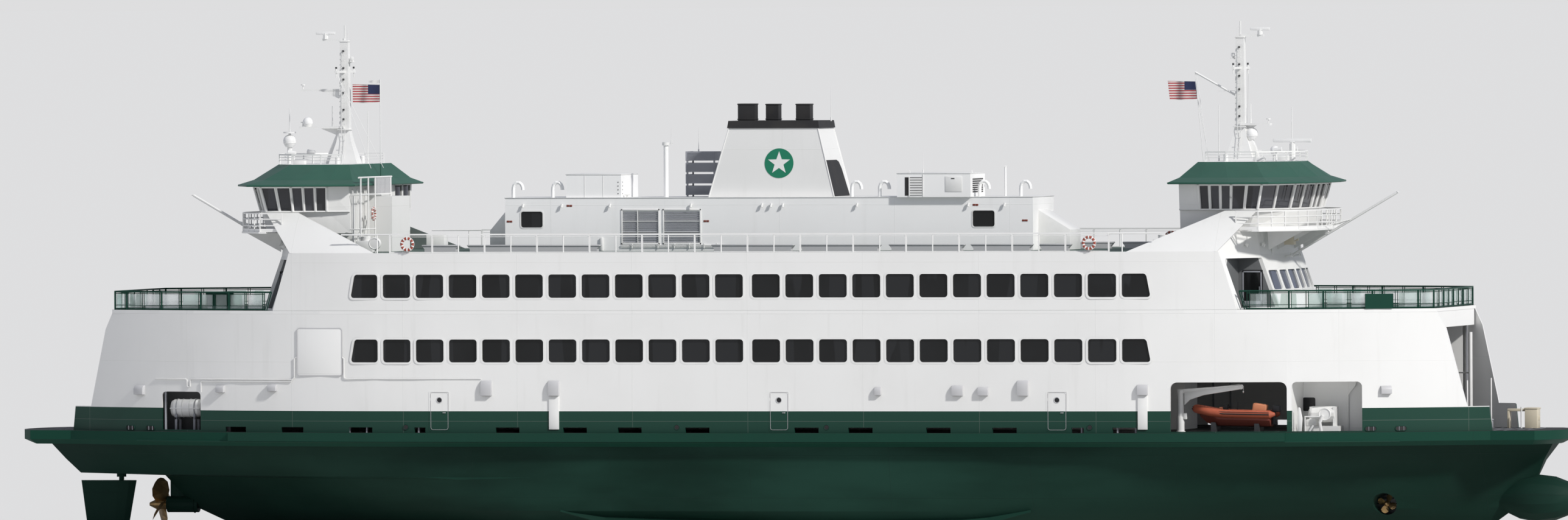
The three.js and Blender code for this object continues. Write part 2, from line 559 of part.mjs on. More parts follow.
function house() {
  const { x0, x1, half } = HOUSE;
  const shell = block(x0, x1, -half, half, SUN_DECK_TOP + SEAT, HOUSE_TOP);
  const room = block(x0 + THIN, x1 - THIN, THIN - half, half - THIN, SUN_DECK - 10, HOUSE_TOP - THIN);
  const windows = HOUSE_WINDOWS.map(([x, width]) => block(x - width / 2, x + width / 2, -400, 400, 1622, 1708));
  const louvres = LOUVRES.map(([x, width]) => block(x - width / 2, x + width / 2, -half - 5, 8 - half, 1540, 1712));
  const pipes = GOOSENECKS.map((x) => gooseneck(x, -half + 40, HOUSE_TOP));
  const pole = rod([-645, -120, HOUSE_TOP - 4], [-645, -120, 2060], 13, 8);
  const tee = rod([1160, 0, HOUSE_TOP - 4], [1160, 0, 1935], 6, 6);
  place('deck_house', join(cut(shell, room, windows, louvres), pipes, pole, tee), WHITE, 0.45);

  place('air_unit', block(-1160, -862, -half + 10, 130, HOUSE_TOP + SEAT, 1900), WHITE, 0.45);
  const box = block(640, 1035, -half - 30, 60, HOUSE_TOP + SEAT, 1902);
  place('machinery_box', box, WHITE, 0.45);

  const frames = [1790, 1850, 1910, 1970].map((z) => block(-570, -415, 20, 150, z, z + 48));
  const posts = [[-566, 24], [-566, 146], [-420, 24], [-420, 146]].map(([x, y]) =>
    block(x - 4, x + 4, y - 4, y + 4, HOUSE_TOP + SEAT, 2012));
  place('cooler', join(frames, posts), STEEL, 0.5, 0.4);
}

const FUNNEL = { foot: 1778, top: 2141, capTop: 2180 };

function funnel() {
  const ring = (z, x0, x1, half) => [[x0, -half, z], [x1, -half, z], [x1, half, z], [x0, half, z]];
  const outer = loft([ring(FUNNEL.foot + SEAT, -396, 283, 195), ring(FUNNEL.top, -291, 191, 172)]);
  place('funnel', outer, WHITE, 0.4);

  const cap = loft([ring(FUNNEL.top + SEAT, -299, 199, 178), ring(FUNNEL.capTop, -293, 193, 174)]);
  // Exhaust stacks: centre along and across the ship, half length, top
  const stacks = [[-215, -60, 46, 2270], [-93, 10, 34, 2268], [84, -30, 38, 2268]].map(([x, y, half, top]) =>
    cut(block(x - half, x + half, y - 34, y + 34, FUNNEL.capTop - 6, top),
      block(x - half + 8, x + half - 8, y - 26, y + 26, FUNNEL.capTop + 20, top + 10)));
  place('funnel_cap', join(cap, stacks), BLACK, 0.6);
}

// Railings

// A line in plan made into a strip of even width, its corners mitred
function strip(line, halfWidth) {
  const points = line.map(([x, y]) => new THREE.Vector2(x, y));
  const offset = points.map((p, i) => {
    const before = p.clone().sub(points[Math.max(0, i - 1)]).normalize();
    const after = points[Math.min(points.length - 1, i + 1)].clone().sub(p).normalize();
    const along = before.add(after).normalize();
    return new THREE.Vector2(-along.y, along.x).multiplyScalar(halfWidth);
  });
  const left = points.map((p, i) => [p.x + offset[i].x, p.y + offset[i].y]);
  const right = points.map((p, i) => [p.x - offset[i].x, p.y - offset[i].y]);
  return [...left, ...right.reverse()];
}

// Posts under a top rail that follows a plan line
function railing(line, z0, z1, post, rail, pitch) {
  const pieces = [prism(strip(line, rail), 'z', z1 - 2 * rail, z1)];
  for (let i = 0; i < line.length - 1; i++) {
    const [a, b] = [line[i], line[i + 1]].map(([x, y]) => new THREE.Vector2(x, y));
    const count = Math.max(1, Math.round(a.distanceTo(b) / pitch));
    const last = i === line.length - 2 ? 1 : 0;
    for (let k = 0; k < count + last; k++) {
      const p = a.clone().lerp(b, k / count);
      pieces.push(block(p.x - post, p.x + post, p.y - post, p.y + post, z0, z1 - rail));
    }
  }
  return pieces;
}

function rails() {
  for (const { name, s } of SIDES) {
    const line = [-1930, -1700, 1700, 1930].map((x) => [x, s * (shellHalf(x) - 10)]);
    place(`sun_rail_${name}`, join(railing(line, SUN_DECK + SEAT, 1600, 4, 4, 295)), WHITE, 0.45);
  }
  for (const { name, e } of ENDS) {
    const stations = [2850, 3020, 3260, 3480, 3555];
    const run = (s) => stations.map((x) => [e * x, s * (shellHalf(x) - 14)]);
    const line = [...run(-1), ...run(1).reverse()];
    place(`end_rail_${name}`, join(railing(line, PASSENGER_DECK + SEAT, 1298, 4, 4.5, 250)), BAND_GREEN, 0.5);
  }
}

// Pilothouses

// Half plan at four levels, from the rear corner round to the front pane: x, y
const PILOTHOUSE_LEVELS = [
  { z: 1600.3, plan: [[2235, 600], [2350, 625], [2524, 640], [2600, 640], [2745, 400], [2790, 115]] },
  { z: 1708, plan: [[2235, 610], [2350, 630], [2524, 662], [2650, 664], [2770, 410], [2815, 115]] },
  { z: 1713, plan: [[2235, 620], [2350, 650], [2524, 688], [2667, 695], [2775, 410], [2820, 115]] },
  { z: 1846, plan: [[2235, 635], [2345, 670], [2530, 710], [2695, 715], [2810, 425], [2855, 120]] },
];
const PANES = [0, 3, 2, 2, 2]; // panes in each facet of the half plan, from the rear
const EAVE = [[2190, 690], [2340, 745], [2540, 800], [2745, 790], [2880, 470], [2925, 140]];
const ROOF_TOP = [[2290, 420], [2345, 440], [2440, 450], [2600, 440], [2720, 250], [2760, 100]];
const ROOF_Z = { eave: 1846 + SEAT, lip: 1856, flare: 1880, top: 1960 };

const wholePlan = (e, half) => [...half.map(([x, y]) => [e * x, -y]), ...half.map(([x, y]) => [e * x, y]).reverse()];

// Draws a plan in by a margin on every side, towards its middle
const drawnIn = (plan, margin) => plan.map(([x, y]) => {
  const middle = 2500;
  return [x - margin * Math.sign(x - middle), y - margin * Math.sign(y)];
});

function blend(planA, planB, t) {
  return planA.map(([x, y], i) => [x + (planB[i][0] - x) * t, y + (planB[i][1] - y) * t]);
}

// Cuts for panes: each facet's glass between the sill and the head, split evenly
function paneCutters(e, sill, head) {
  const cutters = [];
  const add = (p0, q0, p1, q1, count) => {
    const at = (a, b, t) => a.map((v, i) => v + (b[i] - v) * t);
    const lower = (t) => at(p0, q0, t);
    const upper = (t) => at(p1, q1, t);
    const out = new THREE.Vector2(q0[1] - p0[1], p0[0] - q0[0]).normalize().multiplyScalar(40);
    const post = 7 / Math.hypot(q0[0] - p0[0], q0[1] - p0[1]);
    for (let k = 0; k < count; k++) {
      const [t0, t1] = [k / count + post, (k + 1) / count - post];
      const face = [lower(t0), lower(t1), upper(t1), upper(t0)];
      const zs = [sill.z + 6, sill.z + 6, head.z - 8, head.z - 8];
      const push = (sign) => face.map(([x, y], i) => [x + sign * out.x, y + sign * out.y, zs[i]]);
      cutters.push(hexa(push(1), push(-1)));
    }
  };
  for (const s of [-1, 1]) {
    for (let i = 0; i < PANES.length; i++) {
      const corner = (level, k) => [e * level.plan[k][0], s * level.plan[k][1]];
      add(corner(sill, i), corner(sill, i + 1), corner(head, i), corner(head, i + 1), PANES[i]);
    }
  }
  const tip = PANES.length;
  const front = (level, s) => [e * level.plan[tip][0], s * level.plan[tip][1]];
  add(front(sill, -1), front(sill, 1), front(head, -1), front(head, 1), 2);
  return cutters;
}

function pilothouse(name, e) {
  const levels = PILOTHOUSE_LEVELS;
  const outer = loft(levels.map(({ z, plan }) => wholePlan(e, plan).map(([x, y]) => [x, y, z])));
  const inner = loft(levels.map(({ z, plan }, i) => {
    const height = [levels[0].z + 10, levels[1].z, levels[2].z + 2, levels[3].z + 6][i];
    const lean = i < 2 ? 14 : 15;
    return wholePlan(e, drawnIn(plan, lean)).map(([x, y]) => [x, y, height]);
  }));
  const base = cut(block(e * 2236, e * 2440, -560, 560, SUN_DECK_TOP + SEAT, 1606),
    block(e * 2248, e * 2428, -548, 548, SUN_DECK - 5, 1600));
  const stair = e < 0 ? [block(-2090, -2240, -300, 60, SUN_DECK_TOP + SEAT, 1790)] : [];
  const cabin = cut(outer, inner, paneCutters(e, levels[2], levels[3]));
  place(`pilothouse_${name}`, join(cabin, base, stair), WHITE, 0.45);

  const level = (plan, z) => wholePlan(e, plan).map(([x, y]) => [x, y, z]);
  const roof = loft([
    level(EAVE, ROOF_Z.eave), level(EAVE, ROOF_Z.lip),
    level(blend(EAVE, ROOF_TOP, 0.38), ROOF_Z.flare), level(ROOF_TOP, ROOF_Z.top),
  ]);
  const rim = ROOF_TOP.slice(2).map(([x, y]) => [x, y - 12]);
  const line = wholePlan(e, [[2330, 420], ...rim]);
  const guard = railing(line, ROOF_Z.top - 2, 2014, 3, 3.5, 230);
  const fixtures = e > 0
    ? [rod([BIG_RADAR.x, 0, ROOF_Z.top - 3], [BIG_RADAR.x, 0, BIG_RADAR.z], 16, 8),
      rod([2620, -60, ROOF_Z.top - 3], [2620, -60, 2005], 12, 8), ball(2620, -60, 2014, 25)]
    : [rod([-2730, 0, ROOF_Z.top - 3], [-2730, 0, 2060], 14, 8), ball(-2730, 0, 2080, 34),
      rod([-STAFF.x, 0, 1870], [-STAFF.x, 0, STAFF.top], 3, 6)];
  place(`pilothouse_roof_${name}`, join(roof, guard, fixtures), ROOF_GREEN, 0.5);

  place(`console_${name}`, prism([[e * 2640, 1611], [e * 2738, 1611], [e * 2758, 1712],
    [e * 2650, 1704]], 'y', -300, 300), BLACK, 0.6);
}

// Balcony round the front of a pilothouse, with its rail and the steering pole
const BALCONY = [[2572, 765], [2690, 765], [2850, 520], [2900, 300]];
const BALCONY_Z = { floor: 1600 + SEAT, deck: 1610, rail: 1710 };
const POLE = { root: [2700, 1470], tip: [3260, 1795] };

function balcony(name, e) {
  const outline = wholePlan(e, BALCONY);
  const slab = prism(outline, 'z', BALCONY_Z.floor, BALCONY_Z.deck);
  const [foot, sill] = PILOTHOUSE_LEVELS;
  const footprint = loft([{ ...foot, z: foot.z - 8 }, foot, sill].map(({ z, plan }) =>
    wholePlan(e, drawnIn(plan, -SEAT)).map(([x, y]) => [x, y, z])));
  const wings = SIDES.map(({ s }) => {
    const low = [[e * 2440, s * 860, 1560], [e * 2640, s * 860, 1560], [e * 2690, s * 640, 1760], [e * 2440, s * 640, 1760]];
    return hexa(low, low.map(([x, y, z]) => [x, y - s * 300, z]));
  });
  const guardLine = outline.map(([x, y]) => [x - e * 6, y - Math.sign(y) * 6]);
  const rail = railing(guardLine, BALCONY_Z.deck - 2, BALCONY_Z.rail, 3, 3.5, 240);
  const floor = cut(join(slab, rail), footprint, wings);
  const pole = rod([e * POLE.root[0], 0, POLE.root[1]], [e * POLE.tip[0], 0, POLE.tip[1]], 7, 8);
  const bracket = block(e * 2872, e * 2892, -9, 9, 1576, BALCONY_Z.floor + 4);
  place(`balcony_${name}`, join(floor, pole, bracket), WHITE, 0.45);
}

// Masts and radar scanners

const MAST_X = 2425;
// Arms of each mast: height, reach forward of the column, half width
const ARMS = {
  aft: [[2344, 240, 6], [2146, 245, 30]],
  fore: [[2146, 160, 30]],
};
const TOP_ARM = { z: 2608, reach: 125, seat: 105 };
const GAFF = { foot: [2405, 2300], peak: [2182, 2425], belay: [2228, 1905] };
const STAFF = { x: 2232, top: 2405 };
const FLAG = { length: 146, z0: 2286, z1: 2376, thick: 3 };
const BIG_RADAR = { x: 2700, z: 2050, half: 102 };

const ball = (x, y, z, radius) => solid(new THREE.SphereGeometry(radius, 10, 7).translate(x, y, z));

function mast(name, e) {
  const at = e * MAST_X;
  const ring = (z, hx, hy) => [[-hx, -hy], [hx, -hy], [hx, hy], [-hx, hy]].map(([x, y]) => [at + x, y, z]);
  const column = loft([ring(ROOF_Z.top + SEAT, 78, 52), ring(2070, 42, 34), ring(2140, 27, 24), ring(2612, 22, 20)]);
  const arms = ARMS[name].map(([z, reach, half]) => block(at, e * (MAST_X + reach), -half, half, z, z + 11));
  const topArm = block(at, e * (MAST_X + TOP_ARM.reach), -7, 7, TOP_ARM.z, TOP_ARM.z + 14);
  const crosstree = block(at - 8, at + 8, -190, 190, 2440, 2452);
  const seatX = e * (MAST_X + TOP_ARM.seat);
  const seat = rod([seatX, 0, 2618], [seatX, 0, 2640], 14, 8);
  const spike = rod([at, 0, 2600], [at, 0, 2690], 4, 6);
  const extras = [];
  if (e > 0) {
    const [foot, peak, belay] = [GAFF.foot, GAFF.peak, GAFF.belay].map(([x, z]) => [x, 0, z]);
    extras.push(rod(foot, peak, 6, 6), rod(peak, belay, 1.6, 6), ball(2482, 0, 2102, 33));
  } else {
    extras.push(ball(e * (MAST_X + 205), 0, 2180, 26));
  }
  place(`mast_${name}`, join(column, arms, topArm, crosstree, seat, spike, extras), WHITE, 0.45);

  const hub = rod([seatX, 0, 2640 + SEAT], [seatX, 0, 2650], 10, 8);
  place(`radar_${name}`, join(block(seatX - 52, seatX + 52, -7, 7, 2643, 2658), hub), WHITE, 0.45);
}

function bigRadar() {
  const { x, z, half } = BIG_RADAR;
  const hub = rod([x, 0, z + SEAT], [x, 0, z + 14], 11, 8);
  place('radar_bow', join(block(x - half, x + half, -9, 9, z + 8, z + 26), hub), WHITE, 0.45);
}

function flags() {
  const { length, z0, z1, thick } = FLAG;
  const [peak, belay] = [GAFF.peak, GAFF.belay];
  const halyardAt = (z) => peak[0] + ((belay[0] - peak[0]) * (z - peak[1])) / (belay[1] - peak[1]);
  const hoists = { aft: () => -STAFF.x - 3.4, fore: (z) => halyardAt(z) - 2.1 };
  for (const { name } of ENDS) {
    const hoist = hoists[name];
    const outline = [[hoist(z0), z0], [hoist(z1), z1], [hoist(z1) - length, z1 + 4], [hoist(z0) - length, z0 - 4]];
    place(`flag_${name}`, prism(outline, 'y', -thick / 2, thick / 2), 0x93383c, 0.8);
  }
}

// Rescue boat, davit, raft and mooring gear

const DAVIT = { x: 2264, y: -742, tipX: 2594, armZ: 790 };
const BOAT = { x: 2330, y: -706 };

function boatGear() {
  const { x, y, tipX, armZ } = DAVIT;
  place('davit_column', rod([x, y, CAR_DECK + SEAT], [x, y, 752], 17, 10), WHITE, 0.45);
  const post = rod([x, y, 752 + SEAT], [x, y, 778], 17, 10);
  const jib = hexa(
    [[x - 14, y - 11, 760], [x - 14, y + 11, 760], [x - 14, y + 11, 782], [x - 14, y - 11, 782]],
    [[tipX, y - 8, armZ], [tipX, y + 8, armZ], [tipX, y + 8, armZ + 16], [tipX, y - 8, armZ + 16]]);
  place('davit_arm', join(post, jib), WHITE, 0.45);

  // Inflatable boat: two side tubes that close at the bow round a rigid hull
  const section = (bx, half, keel, top) => [[bx, -half, top], [bx, -half, keel + 25], [bx, 0, keel], [bx, half, keel + 25],
    [bx, half, top]].map(([px, py, pz]) => [px, py + BOAT.y, pz]);
  const hullRings = [section(2330, 20, 640, 690), section(2380, 62, 600, 684), section(2480, 78, 588, 672),
    section(2740, 80, 586, 668)];
  const tub = loft(hullRings, [1, 2]);
  const well = hexa(
    [[2420, BOAT.y - 38, 620], [2720, BOAT.y - 50, 620], [2720, BOAT.y + 50, 620], [2420, BOAT.y + 38, 620]],
    [[2420, BOAT.y - 38, 700], [2720, BOAT.y - 50, 700], [2720, BOAT.y + 50, 700], [2420, BOAT.y + 38, 700]]);
  const seatBox = block(2600, 2690, BOAT.y - 26, BOAT.y + 26, 618, 712);
  const outboard = block(2736, 2790, BOAT.y - 20, BOAT.y + 20, 592, 716);
  place('rescue_boat', join(cut(tub, well), seatBox, outboard), ORANGE, 0.55);
  const cradles = [2430, 2660].map((cx) => block(cx, cx + 24, BOAT.y - 62, BOAT.y + 62, CAR_DECK + SEAT, 612));
  const runner = block(2430, 2684, BOAT.y - 14, BOAT.y + 14, CAR_DECK + SEAT, 568);
  const seatCut = loft(hullRings.map((ring) => ring.map(([px, py, pz]) => [px, py, pz - 2 * SEAT])), [1, 2]);
  place('boat_cradle', cut(join(cradles, runner), seatCut), WHITE, 0.5);

  const canister = rod([-3230, -560, 680], [-3055, -560, 680], 48, 14);
  const cradle = [-3200, -3100].map((cx) => block(cx, cx + 16, -600, -520, CAR_DECK + SEAT, 650));
  place('life_raft', join(canister, cradle), WHITE, 0.4);

  const winchBase = block(2900, 3080, -640, -520, CAR_DECK + SEAT, 590);
  const drum = rod([2930, -580, 650], [3050, -580, 650], 42, 14);
  const cheeks = [2920, 3044].map((cx) => block(cx, cx + 14, -615, -545, 580, 690));
  place('mooring_winch', join(winchBase, drum, cheeks), WHITE, 0.5);
}

hull();
underwaterGear();
for (const { name, s } of SIDES) sideShell(name, s);
decks();
for (const { name, s } of SIDES) cabinSide(name, s);
for (const { name, e } of ENDS) {
  cabinFront(name, e);
  pilothouse(name, e);
  balcony(name, e);
  mast(name, e);
}
bigRadar();
flags();
house();
funnel();
rails();
boatGear();

export default ship;
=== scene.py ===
"""Looks of a double-ended car ferry, a 1:10 scale model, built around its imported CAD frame.

Everything is in metres in the frame of the CAD: +X fore, +Y to port, +Z up, keel underside at z = 0.
"""

import logging
import math
from collections.abc import Callable, Iterable, Sequence
from dataclasses import dataclass
from enum import Enum
from typing import ClassVar

import bmesh
import bpy
from mathutils import Matrix, Quaternion, Vector

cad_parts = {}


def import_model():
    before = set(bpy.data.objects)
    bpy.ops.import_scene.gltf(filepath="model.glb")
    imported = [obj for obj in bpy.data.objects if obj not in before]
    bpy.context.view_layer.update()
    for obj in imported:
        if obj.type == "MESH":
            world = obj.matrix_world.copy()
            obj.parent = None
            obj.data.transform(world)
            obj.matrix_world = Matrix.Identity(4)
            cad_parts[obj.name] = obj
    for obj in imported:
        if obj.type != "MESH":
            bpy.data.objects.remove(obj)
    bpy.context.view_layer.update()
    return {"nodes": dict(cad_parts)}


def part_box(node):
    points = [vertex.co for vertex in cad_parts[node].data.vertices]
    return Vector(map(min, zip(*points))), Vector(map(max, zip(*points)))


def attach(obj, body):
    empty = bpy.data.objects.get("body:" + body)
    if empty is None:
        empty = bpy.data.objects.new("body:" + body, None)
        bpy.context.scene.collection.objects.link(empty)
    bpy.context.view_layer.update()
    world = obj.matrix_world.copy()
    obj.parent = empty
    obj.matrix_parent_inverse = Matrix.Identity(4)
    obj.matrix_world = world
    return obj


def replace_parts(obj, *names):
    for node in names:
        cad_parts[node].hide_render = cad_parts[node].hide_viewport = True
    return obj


log = logging.getLogger("ferry")

Point = Sequence[float]
Pairs = tuple[tuple[float, float], ...]
Outline = list[tuple[float, float]]
Colour = tuple[float, float, float, float]
Node = bpy.types.Node
Socket = bpy.types.NodeSocket
WORLD_UP = Vector((0, 0, 1))
WHITE = (0.8, 0.8, 0.785, 1)
GREEN = (0.007, 0.046, 0.03, 1)
SOIL = (0.5, 0.49, 0.46, 1)
DARK_SOIL = (0.013, 0.026, 0.022, 1)
FLAG = ((0.36, 0.04, 0.05, 1), (0.62, 0.6, 0.58, 1))


class Mark(Enum):
    """A named end or side of the ship."""

    @property
    def label(self) -> str:
        """Its name as the CAD's nodes have it."""
        return self.name.lower()


class End(Mark):
    """An end of the ship, with the sign of its X."""

    AFT = -1
    FORE = 1


class Side(Mark):
    """A side of the ship, with the sign of its Y."""

    STARBOARD = -1
    PORT = 1


@dataclass(frozen=True)
class Plan:
    """The ship's plan, worked out from the driving dimensions of the CAD."""

    half: float = 0.95
    end_half: float = 0.415
    parallel: float = 1.7
    shell_end: float = 3.71
    passenger_deck: float = 1.198
    sun_deck: float = 1.5
    house_top: float = 1.778

    def breadth(self, x: float) -> float:
        """Half breadth of the side shell at a place along the ship."""
        s = max(0.0, (abs(x) - self.parallel) / (self.shell_end - self.parallel))
        return self.half - (self.half - self.end_half) * s**2.2

    def slope(self, x: float) -> float:
        """Angle in plan of the side shell at a place along the ship, in radians."""
        step = 0.01
        return math.atan2(self.breadth(x + step) - self.breadth(x - step), 2 * step)


PLAN = Plan()


class Shape:
    """A mesh under construction, in metres in the frame of the CAD."""

    palette: ClassVar[dict[str, tuple[bpy.types.Material, str]]] = {}  # each finish and its usual slot

    def __init__(self) -> None:
        """Starts an empty mesh."""
        self.bm = bmesh.new()
        self.at()

    def at(self, origin: Point = (0, 0, 0), e: float = 1, s: float = 1) -> "Shape":
        """Sets where the next parts are measured from, and the signs of their X and Y."""
        self.origin, self.signs = tuple(origin), (e, s, 1)
        return self

    def point(self, measured: Point) -> Vector:
        """A point of the ship, from one measured at the present place."""
        return Vector(o + k * c for o, k, c in zip(self.origin, self.signs, measured))

    def _placed(self, made: dict, matrix: Matrix) -> list[bmesh.types.BMVert]:
        """Moves what an operator has just made, and returns its vertices."""
        verts = made["verts"][:]
        bmesh.ops.transform(self.bm, matrix=matrix, verts=verts)
        return verts

    def _bevel(self, verts: Iterable[bmesh.types.BMVert], offset: float, segments: int) -> None:
        """Rounds every edge between the given vertices."""
        edges = {edge for vert in verts for edge in vert.link_edges}
        bmesh.ops.bevel(self.bm, geom=list(edges), offset=offset, segments=segments, profile=0.5,
                        affect="EDGES", clamp_overlap=True, material=-1)

    def box(self, low: Point, high: Point, bevel: float = 0.0, turn: Matrix | None = None,
            segments: int = 2) -> "Shape":
        """Adds a block with softened edges.

        Args:
            low: Its lowest corner.
            high: Its highest corner.
            bevel: Radius of its edges.
            turn: A rotation about its own middle.
            segments: Faces across each rounded edge.

        Returns:
            This shape.
        """
        lo, hi = self.point(low), self.point(high)
        made = bmesh.ops.create_cube(self.bm, size=1.0)
        scale = Matrix.Diagonal((*(abs(b - a) for a, b in zip(lo, hi)), 1.0))
        place = Matrix.Translation((lo + hi) / 2) @ (turn.to_4x4() if turn else Matrix()) @ scale
        verts = self._placed(made, place)
        if bevel:
            self._bevel(verts, bevel, segments)
        return self

    def rod(self, start: Point, end: Point, radius: float, end_radius: float | None = None,
            sides: int = 12) -> "Shape":
        """Adds a round bar or cone between two points.

        Args:
            start: The middle of its first face.
            end: The middle of its last face.
            radius: Radius of its first face.
            end_radius: Radius of its last face, where that differs.
            sides: Faces round it.

        Returns:
            This shape.
        """
        a, b = self.point(start), self.point(end)
        last = radius if end_radius is None else end_radius
        made = bmesh.ops.create_cone(self.bm, cap_ends=True, segments=sides, radius1=radius,
                                     radius2=last, depth=(b - a).length)
        turn = WORLD_UP.rotation_difference(b - a).to_matrix().to_4x4()
        self._placed(made, Matrix.Translation((a + b) / 2) @ turn)
        return self

    def ball(self, centre: Point, radius: float, squash: Point = (1, 1, 1), sides: int = 16) -> "Shape":
        """Adds a ball, or an egg where squash differs from 1."""
        made = bmesh.ops.create_uvsphere(self.bm, u_segments=sides, v_segments=max(6, sides // 2),
                                         radius=radius)
        self._placed(made, Matrix.Translation(self.point(centre)) @ Matrix.Diagonal((*squash, 1.0)))
        return self

    def ring(self, centre: Point, axis: Point, radius: float, wire: float, sides: int = 24,
             section: int = 8, flatten: float = 1.0) -> "Shape":
        """Adds a round ring.

        Args:
            centre: Its middle.
            axis: The direction that it faces.
            radius: From its middle to the middle of its section.
            wire: Radius of its section.
            sides: Faces round the ring.
            section: Faces round the section.
            flatten: Height of the section along the axis, as a share of its width.

        Returns:
            This shape.
        """
        made = bmesh.ops.create_circle(self.bm, cap_ends=False, segments=section, radius=wire)
        start = Matrix.Translation((radius, 0, 0)) @ Matrix.Rotation(math.pi / 2, 4, "X")
        verts = self._placed(made, Matrix.Diagonal((1, 1, flatten, 1)) @ start)
        edges = list({edge for vert in verts for edge in vert.link_edges})
        before = set(self.bm.verts) - set(verts)
        bmesh.ops.spin(self.bm, geom=verts + edges, cent=(0, 0, 0), axis=(0, 0, 1), angle=2 * math.pi,
                       steps=sides, use_merge=True)
        facing = Vector(k * c for k, c in zip(self.signs, axis))
        turn = WORLD_UP.rotation_difference(facing).to_matrix().to_4x4()
        ring = [v for v in self.bm.verts if v not in before]
        bmesh.ops.transform(self.bm, matrix=Matrix.Translation(self.point(centre)) @ turn, verts=ring)
        return self

    def pipe(self, points: Sequence[Point], radius: float, sides: int = 8) -> "Shape":
        """Adds a round bar that follows a line of points, mitred at each one.

        Args:
            points: The line's points, first to last.
            radius: Radius of the bar.
            sides: Faces round it.

        Returns:
            This shape.
        """
        line = [self.point(p) for p in points]
        made = bmesh.ops.create_circle(self.bm, cap_ends=True, segments=sides, radius=radius)
        along = (line[1] - line[0]).normalized()
        turn = WORLD_UP.rotation_difference(along).to_matrix().to_4x4()
        verts = self._placed(made, Matrix.Translation(line[0]) @ turn)
        face = verts[0].link_faces[0]
        mouth = list(face.edges)
        for i in range(1, len(line)):
            after = (line[i + 1] - line[i]).normalized() if i + 1 < len(line) else along
            mitre = (along + after).normalized()
            face = bmesh.ops.extrude_discrete_faces(self.bm, faces=[face])["faces"][0]
            for vert in face.verts:
                vert.co += along * ((line[i] - vert.co).dot(mitre) / along.dot(mitre))
            along = after
        bmesh.ops.contextual_create(self.bm, geom=mouth)
        return self

    def plate(self, corners: Sequence[Point], thickness: float, bevel: float = 0.0) -> "Shape":
        """Adds a flat plate from its outline, thickened towards the side its normal points to.

        Args:
            corners: Points of the outline, in one plane.
            thickness: Its depth.
            bevel: Radius of its edges.

        Returns:
            This shape.
        """
        verts = [self.bm.verts.new(self.point(p)) for p in corners]
        face = self.bm.faces.new(verts if math.prod(self.signs) > 0 else verts[::-1])
        face.normal_update()
        normal = face.normal.copy()
        grown = bmesh.ops.extrude_face_region(self.bm, geom=[face], use_keep_orig=True)
        fresh = [g for g in grown["geom"] if isinstance(g, bmesh.types.BMVert)]
        bmesh.ops.translate(self.bm, vec=normal * thickness, verts=fresh)
        if bevel:
            self._bevel(verts + fresh, bevel, 2)
        return self

    def turned(self, matrix: Matrix) -> "Shape":
        """Moves or turns all that has been added so far."""
        bmesh.ops.transform(self.bm, matrix=matrix, verts=self.bm.verts[:])
        return self

    def repeated(self, matrices: Iterable[Matrix]) -> "Shape":
        """Repeats all that has been added so far, once for each matrix."""
        source = self.bm.verts[:] + self.bm.edges[:] + self.bm.faces[:]
        for matrix in matrices:
            copy = bmesh.ops.duplicate(self.bm, geom=source)
            verts = [g for g in copy["geom"] if isinstance(g, bmesh.types.BMVert)]
            bmesh.ops.transform(self.bm, matrix=matrix, verts=verts)
        return self

    def bridged(self, loops: Sequence[Sequence[Point]]) -> "Shape":
        """Adds a skin over closed loops of points, each joined to the next one point by point."""
        rings = [[self.bm.verts.new(self.point(p)) for p in points] for points in loops]
        for first, second in zip(rings, rings[1:]):
            for i in range(len(first)):
                self.bm.faces.new((first[i - 1], first[i], second[i], second[i - 1]))
        return self

    def both_ends(self) -> "Shape":
        """Repeats all that has been added so far, mirrored to the ship's other end."""
        return self.repeated([Matrix.Diagonal((-1, 1, 1, 1))])

    def end_for_end(self) -> "Shape":
        """Repeats all that has been added so far, turned half round about the ship's middle."""
        return self.repeated([Matrix.Rotation(math.pi, 4, "Z")])

    def piece(self, name: str, finish: str, body: str = "root", smooth: float = 35.0,
              slot: str = "") -> bpy.types.Object:
        """Makes the finished mesh an object that rides on a body.

        Args:
            name: Name of the piece.
            finish: Key of its finish.
            body: The CAD body that it moves with.
            smooth: Angle in degrees under which faces meet smoothly.
            slot: The record's slot, where it isn't the finish's usual one. Not used.

        Returns:
            The new object, at the origin.
        """
        material, usual = self.palette[finish]
        bmesh.ops.remove_doubles(self.bm, verts=self.bm.verts[:], dist=1e-6)
        bmesh.ops.recalc_face_normals(self.bm, faces=self.bm.faces[:])
        limit = math.radians(smooth)
        for edge in self.bm.edges:
            edge.smooth = edge.is_manifold and edge.calc_face_angle(math.pi) < limit
        for face in self.bm.faces:
            face.smooth = True
        mesh = bpy.data.meshes.new(name)
        self.bm.to_mesh(mesh)
        self.bm.free()
        mesh.materials.append(material)
        made = bpy.data.objects.new(name, mesh)
        bpy.context.scene.collection.objects.link(made)
        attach(made, body)
        log.info("%s: %d faces", name, len(mesh.polygons))
        return made


def arc(centre: Point, radius: float, start: float, end: float, steps: int,
        plane: str = "XZ") -> list[Vector]:
    """Points on an arc.

    Args:
        centre: Its middle.
        radius: Its radius.
        start: First angle in degrees.
        end: Last angle in degrees.
        steps: Spans between points.
        plane: The two axes that it lies in.

    Returns:
        The points, first to last.
    """
    u, v = ("XYZ".index(axis) for axis in plane)
    points = []
    for k in range(steps + 1):
        angle = math.radians(start + (end - start) * k / steps)
        point = Vector(centre)
        point[u] += radius * math.cos(angle)
        point[v] += radius * math.sin(angle)
        points.append(point)
    return points


